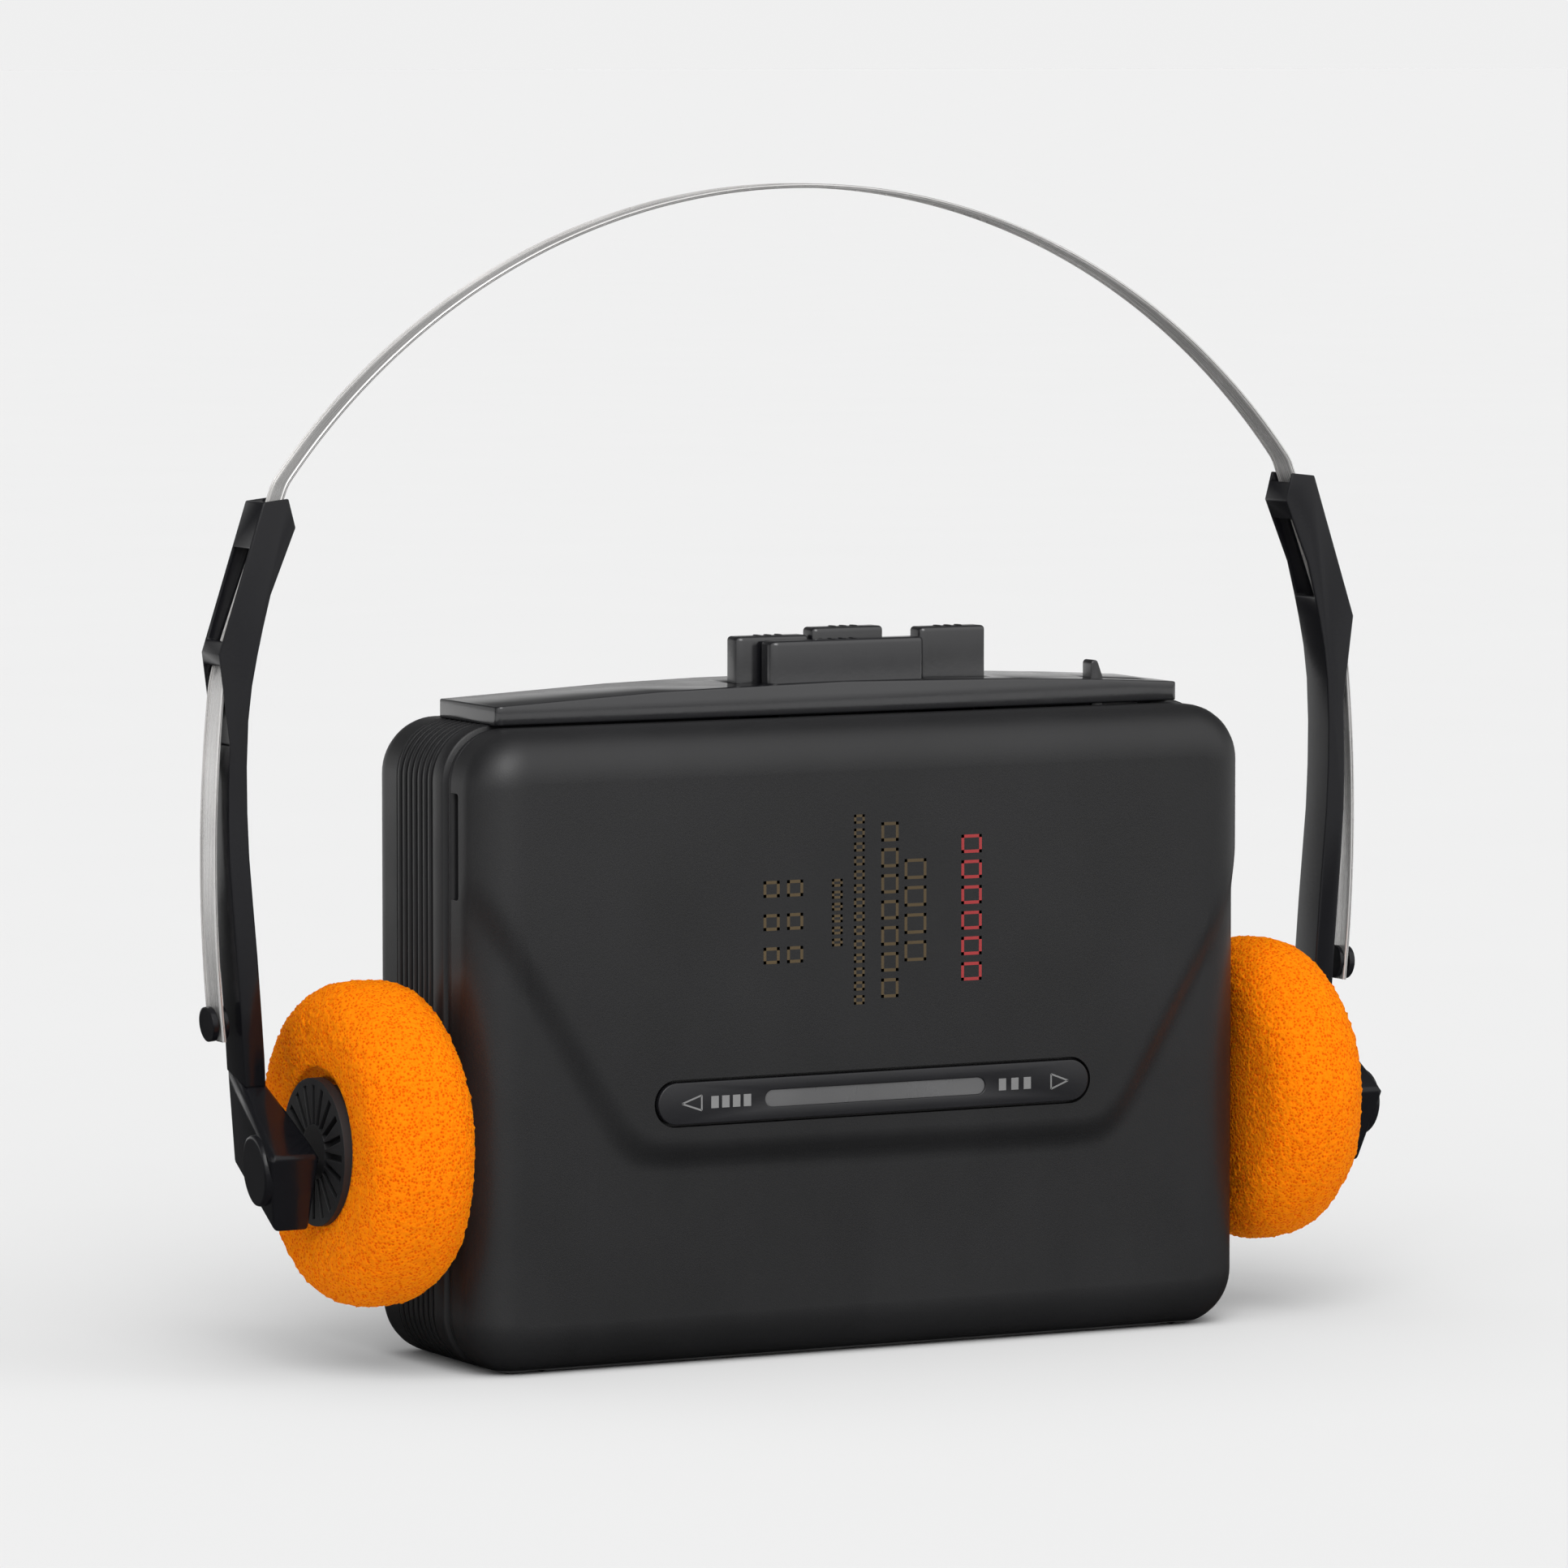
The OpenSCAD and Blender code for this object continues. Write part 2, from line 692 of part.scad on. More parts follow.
// Middle line of the right half of the band, from its top to its tail
arch_end = [band_r * sin(arch_half_angle), band_top - band_r * (1 - cos(arch_half_angle))];
arch = [for (k = [0 : 16]) let (a = arch_half_angle * k / 16)
    [band_r * sin(a), band_top - band_r * (1 - cos(a))]];
mouth_bend = bend(arch_end, 90 - arch_half_angle, head_tilt, mouth_bend_r, 3);
ridge_start = mouth_bend[2] + head_run * [sin(head_tilt), -cos(head_tilt)];
ridge_bend = bend(ridge_start, head_tilt, bow_angle, ridge_bend_r, 3);
tail_bow = bend(ridge_bend[2], bow_angle, -bow_angle, bow_r, 8);
tail_x = tail_bow[7].x + 0.215;
half_line = concat(arch, mouth_bend, [ridge_start], ridge_bend, tail_bow);
last = len(half_line) - 1;

// The half line moved sideways by d
function sideways(d) = [
    for (i = [0 : last])
        let (step = half_line[min(i + 1, last)] - half_line[max(i - 1, 0)], run = step / norm(step))
        half_line[i] + d * [-run.y, run.x]
];
function reversed(list) = [for (i = [len(list) - 1 : -1 : 0]) list[i]];
function flipped(list) = [for (p = list) [-p.x, p.y]];

module headband() {
    outer = sideways(band_t / 2);
    inner = sideways(-band_t / 2);
    color(steel) difference() {
        plate_y(band_y - band_w / 2, band_y + band_w / 2)
            polygon(concat(outer, reversed(inner), flipped([for (i = [1 : last]) inner[i]]),
                           flipped(reversed([for (i = [1 : last]) outer[i]]))));
        for (s = [-1, 1]) peg_disc(s, 1.25, -2, 2);
    }
}

peg_z = 46.4;
peg_tilt = 5.25;

// A round piece square to the band's tail, between two distances from the band's middle line
module peg_disc(side, r, from, to) {
    mirror([side > 0 ? 0 : 1, 0, 0]) translate([tail_x, band_y, peg_z]) rotate([0, 90 + peg_tilt, 0])
        translate([0, 0, from]) cylinder(r = r, h = to - from);
}

module band_pegs() {
    half_t = band_t / 2;
    color(shell_black) for (s = [-1, 1]) {
        peg_disc(s, 2.3, half_t + 0.3, half_t + 1.1);
        peg_disc(s, 1.2, -half_t - 0.3, half_t + 0.5);
        peg_disc(s, 2.3, -half_t - 0.6, -half_t - 0.03);
    }
}

arm_w = 5.8;
arm_y = [band_y - arm_w / 2, band_y + arm_w / 2];
foot_slope = 17;
arm_side = [
    [79.5, 37], [82.4, 37], [82.7, 42], [83.05, 48], [83.6, 55], [84.15, 62], [84.5, 68],
    [84.6, 73], [84.55, 78], [84.4, 83], [85.9, 94.8], [79.5, 114.4], [75.9, 114.8], [74.9, 111],
    [76.6, 106.8], [78.5, 102.3], [79.6, 98], [80.4, 94.5], [81.2, 90.5], [81.75, 86], [82, 80],
    [81.95, 74], [81.7, 68], [81.2, 62], [80.6, 55], [80.1, 48], [79.7, 42]
];

// The right arm: a bar below, and above it two thin side plates tied by cross pieces
module arm_blank() {
    color(shell_black) difference() {
        plate_y(arm_y[0], arm_y[1]) polygon(arm_side);
        plate_y(arm_y[0] + 0.4, arm_y[1] - 0.4) {
            translate([70, 97.6]) square([20, 10.8]);
            polygon([[78.1, 108.3], [80.9, 108.3], [78.5, 116], [74.5, 116]]);
            polygon([[81.2, 97.7], [82.8, 92], [83.8, 86], [83.8, 82.8], [90, 82.8], [90, 93.2],
                     [85.2, 93.2], [84.3, 96.4], [90, 96.4], [90, 97.7]]);
        }
        translate([70, arm_y[0], 38]) rotate([foot_slope, 0, 0]) translate([0, -5, -10]) cube([20, 20, 10]);
    }
}

module right_arm() { arm_blank(); }
module left_arm() { mirror([1, 0, 0]) arm_blank(); }

cup_y = -3;
cup_z = 29.8;
ball_x = 80.2;

// The right bracket: a wedge from the arm's foot to the cup's ball joint
module bracket_wedge() {
    hull() {
        translate([79.3, arm_y[0], 38]) rotate([foot_slope, 0, 0]) translate([0, 0.1, -0.5])
            cube([3.2, 5.9, 0.5]);
        block([79.3, 4, 27.9], [82.8, 5.8, 28.3]);
        for (x = [77.7, 83.5]) translate([x, -8.2, 29.4]) sphere(0.7, $fn = 16);
        for (x = [77.9, 81.4]) translate([x, -4.8, 20.5]) sphere(0.7, $fn = 16);
    }
}

module bracket_blank() {
    color(shell_black) difference() {
        bracket_wedge();
        translate([ball_x, cup_y, cup_z - 2]) sphere(1.75);
        bar_x(cup_y, cup_z - 2, 1.55, 70, ball_x);
    }
}

module right_bracket() { bracket_blank(); }
module left_bracket() { mirror([1, 0, 0]) bracket_blank(); }

// Round cap on the outside of the right bracket
module cap_blank() {
    color(gloss_black) difference() {
        translate([83.4, cup_y, cup_z - 2]) rotate([0, 0, 5.4]) rotate([0, 94, 0])
            translate([0, 0, -1.6]) cylinder(r = 5, h = 2.2);
        bracket_wedge();
        block([70, -20, 0], [81.6, 20, 60]);
    }
}

module right_cap() { cap_blank(); }
module left_cap() { mirror([1, 0, 0]) cap_blank(); }

disc_t = 1.4;
disc_x = pad_inner_x + pad_t + disc_t;

// The right driver housing: spoked disc, rim, hub and ball
module driver_blank() {
    spokes = 20;
    color(shell_black) {
        difference() {
            bar_x(cup_y, cup_z, 9.7, disc_x - disc_t, disc_x);
            for (i = [0 : spokes - 1]) translate([disc_x - 0.3, cup_y, cup_z])
                rotate([i * 360 / spokes, 0, 0]) translate([0, 0, 6.2])
                    cube([1.2, 0.9, 5.2], center = true);
        }
        bar_x(cup_y, cup_z, 8.6, disc_x - 6, disc_x - disc_t);
        bar_x(cup_y, cup_z - 2, 1, disc_x, ball_x - 1);
        translate([ball_x, cup_y, cup_z - 2]) sphere(1.6);
    }
}

module right_driver() { driver_blank(); }
module left_driver() { mirror([1, 0, 0]) driver_blank(); }

// The right foam pad: a thick round cushion with a pocket for the driver
module pad_blank() {
    outer_x = disc_x - 0.2;
    full_t = outer_x - pad_inner_x;
    round_r = full_t / 2 - 0.1;
    color(foam_orange) translate([outer_x, cup_y, cup_z + 0.8]) rotate([0, -90, 0]) difference() {
        rotate_extrude($fn = 64) {
            square([pad_d / 2 - round_r, full_t]);
            translate([pad_d / 2 - round_r, full_t / 2]) circle(round_r);
        }
        translate([-0.8, 0, -1]) cylinder(r = 9.9, h = 1 + disc_t - 0.1);
        translate([-0.8, 0, -1]) cylinder(r = 8.7, h = 1 + disc_t + 4.7);
    }
}

module right_pad() { pad_blank(); }
module left_pad() { mirror([1, 0, 0]) pad_blank(); }

rear_shell();
ribbed_frame();
top_panel();
chassis_plate();
battery_tray();
battery_contacts();
battery_cover();
circuit_board();
board_parts();
motor();
rear_plate();
standoffs();
capstan_bushes();
reel_posts();
belt_guide();
drive_belt();
headphone_jack();
case_screws();
chassis_screws();
door_shell();
door_badge();
door_window();
cassette_guides();
hinge_pins();
play_key();
rewind_key();
stop_key();
forward_key();
mode_lever();
volume_wheel();
head_plate();
tape_head();
roller_pins();
left_roller();
right_roller();
left_reel();
right_reel();
left_flywheel();
right_flywheel();
left_capstan();
right_capstan();
motor_pulley();
headband();
band_pegs();
left_arm();
right_arm();
left_bracket();
right_bracket();
left_cap();
right_cap();
left_driver();
right_driver();
left_pad();
right_pad();
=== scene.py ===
"""Looks of the pocket cassette player and its headset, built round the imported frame."""

import json
import math

import bmesh
import bpy
from mathutils import Matrix, Vector, noise


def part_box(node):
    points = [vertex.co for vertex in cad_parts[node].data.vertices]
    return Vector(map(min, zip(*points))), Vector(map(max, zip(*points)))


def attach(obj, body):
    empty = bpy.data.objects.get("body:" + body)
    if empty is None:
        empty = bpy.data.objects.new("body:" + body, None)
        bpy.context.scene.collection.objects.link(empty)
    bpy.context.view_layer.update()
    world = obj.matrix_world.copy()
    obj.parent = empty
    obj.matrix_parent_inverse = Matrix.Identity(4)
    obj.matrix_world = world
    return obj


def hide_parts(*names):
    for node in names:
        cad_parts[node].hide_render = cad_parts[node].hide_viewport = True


MM = 0.001

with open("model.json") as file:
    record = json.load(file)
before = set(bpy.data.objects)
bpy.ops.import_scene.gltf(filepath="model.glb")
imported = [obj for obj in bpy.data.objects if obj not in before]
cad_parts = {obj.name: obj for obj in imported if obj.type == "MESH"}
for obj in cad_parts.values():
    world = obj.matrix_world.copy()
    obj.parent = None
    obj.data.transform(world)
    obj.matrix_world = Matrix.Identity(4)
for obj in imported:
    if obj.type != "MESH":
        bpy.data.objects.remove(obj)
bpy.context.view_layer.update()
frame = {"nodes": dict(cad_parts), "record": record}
scene = bpy.context.scene


# ---------- sizes in millimetres ----------


def box_mm(node):
    """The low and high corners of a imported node."""
    low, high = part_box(node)
    return low / MM, high / MM


case_low, case_high = box_mm("rear_shell")
door_low, door_high = box_mm("door_shell")
badge_low, badge_high = box_mm("door_badge")
band_low, band_high = box_mm("headband")
badge_z = (badge_low.z + badge_high.z) / 2

WALL = 1.8  # thickness of the case and the door
CORNER = 7.5  # corner radius of the case seen from the front
REAR_ROUND, REAR_INNER_ROUND = 5.0, 4.1  # how far the rear shell's edges round over
DOOR_ROUND = (6.6, 5.8)  # width and depth of the door's rounded edge
DOOR_INNER_ROUND = 4.5
DOOR_FRONT = -16.3  # the door's lower face
DOOR_SEAM = -8.0  # the door's back edge
EAR_X = 47.7  # the frame's two hinge ears
FLAP = [(-55.2, 61.1), (-36.3, 30.4), (-32.7, 28.9), (33.5, 28.4), (37.2, 30.6), (54.6, 59.5)]
FLAP_RAISE = door_low.y - DOOR_FRONT  # from the lower face to the raised panel
FLAP_BLEND = 1.6  # how softly the raised panel's three edges run together
FLAP_FAR = 12  # beyond this a point counts as well inside the panel
FLAP_FOOT, FLAP_SLOPE = 2.4, 3.4  # where the panel's slope starts outside its line, and its width
KEY_CAP_FOOT = 87.6
PRINT_LIFT, PRINT_SINK = 0.015, 0.05  # how far print stands out of the door and reaches into it


# ---------- materials ----------


class Shader:
    """A node material built a step at a time, in object coordinates."""

    def __init__(self, name):
        self.material = bpy.data.materials.new(name)
        self.material.use_nodes = True
        self.tree = self.material.node_tree
        self.tree.nodes.clear()
        out = self.add("ShaderNodeOutputMaterial")
        self.bsdf = self.add("ShaderNodeBsdfPrincipled")
        self.link(self.bsdf.outputs["BSDF"], out.inputs["Surface"])
        self.coords = self.add("ShaderNodeTexCoord").outputs["Object"]

    def add(self, kind):
        return self.tree.nodes.new(kind)

    def link(self, a, b):
        self.tree.links.new(a, b)

    def set(self, **values):
        for key, value in values.items():
            self.bsdf.inputs[key.replace("_", " ")].default_value = value
        return self

    def feed(self, source, socket):
        self.link(source, self.bsdf.inputs[socket])
        return self

    def stretched(self, scale):
        mapping = self.add("ShaderNodeMapping")
        mapping.inputs["Scale"].default_value = scale
        self.link(self.coords, mapping.inputs["Vector"])
        return mapping.outputs["Vector"]

    def noise(self, scale, detail=3.0, rough=0.5, stretch=(1, 1, 1)):
        node = self.add("ShaderNodeTexNoise")
        node.inputs["Scale"].default_value = scale
        node.inputs["Detail"].default_value = detail
        node.inputs["Roughness"].default_value = rough
        self.link(self.stretched(stretch), node.inputs["Vector"])
        return node.outputs["Fac"]

    def cells(self, scale):
        node = self.add("ShaderNodeTexVoronoi")
        node.inputs["Scale"].default_value = scale
        self.link(self.stretched((1, 1, 1)), node.inputs["Vector"])
        return node.outputs["Distance"]

    def ramp(self, source, stops):
        node = self.add("ShaderNodeValToRGB")
        ramp = node.color_ramp
        while len(ramp.elements) < len(stops):
            ramp.elements.new(0.5)
        for element, (place, colour) in zip(ramp.elements, stops):
            element.position = place
            element.color = (*colour, 1.0)
        self.link(source, node.inputs["Fac"])
        return node.outputs["Color"]

    def spread(self, source, low, high, from_low=0.3, from_high=0.7):
        node = self.add("ShaderNodeMapRange")
        node.inputs["From Min"].default_value = from_low
        node.inputs["From Max"].default_value = from_high
        node.inputs["To Min"].default_value = low
        node.inputs["To Max"].default_value = high
        self.link(source, node.inputs["Value"])
        return node.outputs["Result"]

    def bump(self, source, depth, strength=1.0, under=None):
        node = self.add("ShaderNodeBump")
        node.inputs["Strength"].default_value = strength
        node.inputs["Distance"].default_value = depth
        self.link(source, node.inputs["Height"])
        if under is not None:
            self.link(under, node.inputs["Normal"])
        return node.outputs["Normal"]

    def soft_edges(self, radius):
        node = self.add("ShaderNodeBevel")
        node.samples = 4
        node.inputs["Radius"].default_value = radius
        return node.outputs["Normal"]


def tint(colour, factor):
    return tuple(min(1.0, c * factor) for c in colour)


def plastic(name, colour, roughness, grain_mm, grain_depth_mm, edge_mm=0.15, marks=0.5):
    """Moulded plastic: fine grain, faint clouding, a few rubbed patches and rounded edges."""
    s = Shader(name)
    cloud = s.noise(38, detail=4)
    s.feed(s.ramp(cloud, [(0.3, tint(colour, 0.8)), (0.72, tint(colour, 1.25))]), "Base Color")
    rubbed = s.noise(120, detail=6, rough=0.65, stretch=(1, 0.6, 0.35))
    s.feed(s.spread(rubbed, roughness - 0.08 * marks, roughness + 0.1 * marks), "Roughness")
    normal = s.soft_edges(edge_mm * MM) if edge_mm else None
    grain = s.noise(1 / (grain_mm * MM), detail=2)
    s.feed(s.bump(grain, grain_depth_mm * MM, under=normal), "Normal")
    return s


def metal(name, colour, roughness, stretch, streak=900, edge_mm=0.1):
    """Metal with fine rolling or turning lines and a faint tarnish."""
    s = Shader(name)
    tarnish = s.noise(60, detail=5)
    s.feed(s.ramp(tarnish, [(0.3, tint(colour, 0.78)), (0.7, colour)]), "Base Color")
    lines = s.noise(streak, detail=4, stretch=stretch)
    s.feed(s.spread(lines, roughness * 0.7, roughness * 1.35), "Roughness")
    s.feed(s.bump(lines, 0.01 * MM, strength=0.5, under=s.soft_edges(edge_mm * MM)), "Normal")
    return s.set(Metallic=1.0)


def foam(name, pore_shade, bright):
    """Open-cell foam: fine pores painted dark as shade inside the cells, bright cell faces between them, and
    light that soaks in.
    """
    s = Shader(name)
    pores = s.cells(2300)
    fine_pores = s.cells(4200)
    cloud = s.noise(230, detail=6, rough=0.6)
    # painted shade: the pores are coloured darker than the cell faces, darkest at their middles, as shade
    # inside the cells
    pore_shaded_walls = s.ramp(pores, [(0.05, tint(pore_shade, 0.75)), (0.26, pore_shade), (0.5, bright)])
    shade = s.ramp(cloud, [(0.3, (0.97, 0.86, 0.7)), (0.65, (1.0, 1.0, 1.0))])
    mix = s.add("ShaderNodeMix")
    mix.data_type = "RGBA"
    mix.blend_type = "MULTIPLY"
    mix.inputs["Factor"].default_value = 0.6
    s.link(pore_shaded_walls, mix.inputs["A"])
    s.link(shade, mix.inputs["B"])
    s.feed(mix.outputs["Result"], "Base Color")
    rough_skin = s.bump(pores, 0.25 * MM, strength=0.8)
    s.feed(s.bump(fine_pores, 0.1 * MM, strength=0.6, under=rough_skin), "Normal")
    s.set(Roughness=0.95, Specular_IOR_Level=0.05, Subsurface_Weight=0.25, Subsurface_Scale=0.002)
    return s.set(Subsurface_Radius=(1.0, 0.35, 0.05))


BLACK = (0.0115, 0.0115, 0.0125)
GLOSS = (0.0065, 0.0065, 0.008)
door_black = plastic("satin_black_door", tint(BLACK, 0.8), 0.42, 0.22, 0.014, edge_mm=0)
case_black = plastic("satin_black_case", (0.009, 0.009, 0.01), 0.4, 0.25, 0.012, edge_mm=0.18)
inner_black = plastic("matte_black_inner", (0.012, 0.012, 0.013), 0.55, 0.3, 0.02)
gloss_black = plastic("gloss_black", GLOSS, 0.13, 0.6, 0.004, edge_mm=0.25)
gloss_black.set(Specular_IOR_Level=1.0)
arm_black = plastic("gloss_black_arm", GLOSS, 0.18, 0.5, 0.005, edge_mm=0.3, marks=0.6)
arm_black.set(Specular_IOR_Level=0.3)
badge_black = plastic("badge_black", (0.012, 0.012, 0.014), 0.32, 0.4, 0.006, edge_mm=0.12)
window_grey = plastic("window_grey", (0.11, 0.11, 0.112), 0.3, 0.5, 0.01, edge_mm=0.1, marks=1.5)
rubber = plastic("rubber_black", (0.015, 0.015, 0.015), 0.75, 0.3, 0.03)
board_green = plastic("board_green", (0.02, 0.11, 0.05), 0.4, 0.5, 0.02)
chip_dark = plastic("component_dark", (0.02, 0.02, 0.022), 0.5, 0.3, 0.02)
hub_pale = plastic("hub_plastic", (0.62, 0.6, 0.54), 0.45, 0.4, 0.01)
sheet_steel = metal("steel_plate", (0.55, 0.55, 0.56), 0.34, (1, 30, 30))
ground_steel = metal("ground_steel", (0.75, 0.75, 0.77), 0.16, (30, 30, 1))
spring_steel = metal("spring_steel", (0.74, 0.73, 0.72), 0.26, (0.2, 6, 0.2), streak=500, edge_mm=0.08)
spring_steel.set(Metallic=0.6)
brass = metal("brass", (0.62, 0.42, 0.16), 0.25, (30, 1, 30))
head_metal = metal("head_metal", (0.6, 0.6, 0.62), 0.18, (1, 1, 30))
# the first colour is painted shade for the pores, the second the foam's own colour
orange_foam = foam("orange_foam", (0.86, 0.12, 0.0), (0.97, 0.24, 0.002))
red_print = plastic("red_print", (0.3, 0.02, 0.022), 0.5, 0.3, 0.01, edge_mm=0)
bronze_print = plastic("bronze_print", (0.07, 0.046, 0.017), 0.5, 0.3, 0.01, edge_mm=0)
pale_print = plastic("pale_print", (0.2, 0.2, 0.2), 0.5, 0.3, 0.01, edge_mm=0)

SLOT_LOOKS = {
    "shell_black": inner_black,
    "gloss_black": gloss_black,
    "smoke_window": window_grey,
    "steel_plate": sheet_steel,
    "ground_steel": ground_steel,
    "brass": brass,
    "spring_steel": spring_steel,
    "orange_foam": orange_foam,
    "hub_plastic": hub_pale,
    "rubber_black": rubber,
    "board_green": board_green,
    "component_dark": chip_dark,
    "head_metal": head_metal,
}
NODE_LOOKS = {
    "ribbed_frame": case_black,
    "rear_shell": case_black,
    "battery_cover": case_black,
    "volume_wheel": case_black,
    "door_badge": badge_black,
    "left_arm": arm_black,
    "right_arm": arm_black,
    "left_bracket": arm_black,
    "right_bracket": arm_black,
    "band_pegs": arm_black,
}

node_slots = {entry["node"]: entry["material_slot"] for entry in frame["record"]["subparts"]}
for node_name, node in frame["nodes"].items():
    look = NODE_LOOKS.get(node_name, SLOT_LOOKS[node_slots[node_name]])
    node.data.materials.clear()
    node.data.materials.append(look.material)


# ---------- making meshes ----------


def mark_sharp(mesh, angle=38):
    """Smooth shading everywhere but across edges sharper than angle."""
    for polygon in mesh.polygons:
        polygon.use_smooth = True
    mesh.set_sharp_from_angle(angle=math.radians(angle))


def solid_mesh(name, verts, faces):
    """A mesh from points in millimetres, with its faces turned outwards."""
    mesh = bpy.data.meshes.new(name)
    mesh.from_pydata([Vector(v) * MM for v in verts], [], faces)
    bm = bmesh.new()
    bm.from_mesh(mesh)
    bmesh.ops.recalc_face_normals(bm, faces=bm.faces)
    bm.to_mesh(mesh)
    bm.free()
    return mesh


def dress(obj, look, body, node=None):
    """Links an object, gives it its look and body, and lets it stand for a CAD node."""
    scene.collection.objects.link(obj)
    obj.data.materials.clear()
    obj.data.materials.append(look.material)
    mark_sharp(obj.data)
    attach(obj, body)
    if node:
        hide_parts(node)
    return obj


def piece(name, verts, faces, look, body, slot, node=None):
    """A new object from points in millimetres."""
    return dress(bpy.data.objects.new(name, solid_mesh(name, verts, faces)), look, body, node)


def released(bm):
    """The points and faces of a bmesh, which is then freed."""
    bm.verts.index_update()
    out = ([v.co.copy() for v in bm.verts], [tuple(v.index for v in f.verts) for f in bm.faces])
    bm.free()
    return out


def bevel(bm, edges, offset, segments, clamp=False):
    """Rounds edges over, keeping clear of each other where clamp is set."""
    bmesh.ops.bevel(bm, geom=edges, offset=offset, segments=segments, profile=0.5, affect="EDGES",
                    clamp_overlap=clamp)


def box_bmesh(low, high):
    """A plain box between two corners."""
    bm = bmesh.new()
    bmesh.ops.create_cube(bm, size=1)
    size, middle = high - low, (high + low) / 2
    bmesh.ops.transform(bm, matrix=Matrix.Translation(middle) @ Matrix.Diagonal((*size, 1)), verts=bm.verts)
    return bm


def round_box(low, high, r, segments=3):
    """A box with all its edges rounded."""
    bm = box_bmesh(Vector(low), Vector(high))
    bevel(bm, list(bm.edges), r, segments)
    return released(bm)


def box_pair(x, half_width, y, z, r):
    """Two rounded boxes, one on each side at plus and minus x."""
    return [round_box((s * x - half_width, y[0], z[0]), (s * x + half_width, y[1], z[1]), r) for s in (-1, 1)]


def refined(name, node, look, body, edge=0.25, sharp=35):
    """The CAD node's own shape with its hard edges rounded and its long curves shaded smooth."""
    mesh = frame["nodes"][node].data.copy()
    mesh.name = name
    bm = bmesh.new()
    bm.from_mesh(mesh)
    bmesh.ops.remove_doubles(bm, verts=bm.verts, dist=0.002 * MM)
    bmesh.ops.dissolve_limit(bm, angle_limit=math.radians(1), verts=bm.verts, edges=bm.edges)
    hard = [e for e in bm.edges if len(e.link_faces) == 2 and e.calc_face_angle(0) > math.radians(sharp)]
    bevel(bm, hard, edge * MM, 3, clamp=True)
    bm.to_mesh(mesh)
    bm.free()
    if mesh.has_custom_normals:
        mesh.attributes.remove(mesh.attributes["custom_normal"])
    return dress(bpy.data.objects.new(name, mesh), look, body, node)


def joined(*parts):
    """Several (points, faces) put in one list."""
    verts, faces = [], []
    for part in parts:
        shift = len(verts)
        verts += part[0]
        faces += [tuple(i + shift for i in face) for face in part[1]]
    return verts, faces


def bridge(a, b, size):
    """Quads between two closed rings of points that start at a and b."""
    return [(a + i, a + (i + 1) % size, b + (i + 1) % size, b + i) for i in range(size)]


def bridges(count, size, closed=False):
    """Quads along a run of rings that lie one after the other in a list of points."""
    faces = []
    for k in range(count if closed else count - 1):
        faces += bridge(k * size, (k + 1) % count * size, size)
    return faces


def cut(obj, *cutters):
    """Takes closed (points, faces) away from obj, exactly."""
    for verts, faces in cutters:
        mesh = solid_mesh("cutter", verts, faces)
        cutter = bpy.data.objects.new("cutter", mesh)
        scene.collection.objects.link(cutter)
        modifier = obj.modifiers.new("cut", "BOOLEAN")
        modifier.operation = "DIFFERENCE"
        modifier.solver = "EXACT"
        modifier.object = cutter
        depsgraph = bpy.context.evaluated_depsgraph_get()
        result = bpy.data.meshes.new_from_object(obj.evaluated_get(depsgraph))
        obj.modifiers.clear()
        old = obj.data
        obj.data = result
        result.name = obj.name
        bpy.data.meshes.remove(old)
        bpy.data.objects.remove(cutter)
        bpy.data.meshes.remove(mesh)
    mark_sharp(obj.data)


# ---------- outlines ----------


def slab(outline, y_low, y_high):
    """A flat outline in X and Z made solid between two Y planes."""
    n = len(outline)
    verts = [(x, y_low, z) for x, z in outline] + [(x, y_high, z) for x, z in outline]
    return verts, [tuple(range(n)), tuple(range(2 * n - 1, n - 1, -1))] + bridge(0, n, n)


def plate(x_low, x_high, z_low, z_high, y_low, y_high):
    """A rectangle in X and Z made solid between two Y planes."""
    return slab([(x_low, z_low), (x_high, z_low), (x_high, z_high), (x_low, z_high)], y_low, y_high)


def pill(half_length, r, z, steps=20):
    """The outline of a bar with round ends."""
    points = []
    for side in (1, -1):
        for k in range(steps + 1):
            a = math.radians(-90 + 180 * k / steps)
            points.append((side * (half_length - r + r * math.cos(a)), z + side * r * math.sin(a)))
    return points


def disc(x, z, r, steps=24):
    """The outline of a circle."""
    angles = [math.tau * k / steps for k in range(steps)]
    return [(x + r * math.cos(a), z + r * math.sin(a)) for a in angles]


def ring_uv(outline, inset, counts):
    """One closed ring of a rounded rectangle drawn in by inset: straight runs and corner arcs."""
    half, low, high, r = outline
    n_side, n_end, n_arc = counts
    inner_half, bottom, top = half - r, low + r, high - r
    left = r - inset
    runs = [
        ((-inner_half, high - inset), (inner_half, high - inset), n_side, (inner_half, top), 90),
        ((half - inset, top), (half - inset, bottom), n_end, (inner_half, bottom), 0),
        ((inner_half, low + inset), (-inner_half, low + inset), n_side, (-inner_half, bottom), -90),
        ((inset - half, bottom), (inset - half, top), n_end, (-inner_half, top), 180),
    ]
    points = []
    for start, end, count, centre, angle in runs:
        for k in range(count + 1):
            t = k / count
            points.append((start[0] + (end[0] - start[0]) * t, start[1] + (end[1] - start[1]) * t))
        for k in range(1, n_arc):
            a = math.radians(angle - 90 * k / n_arc)
            points.append((centre[0] + left * math.cos(a), centre[1] + left * math.sin(a)))
    return points


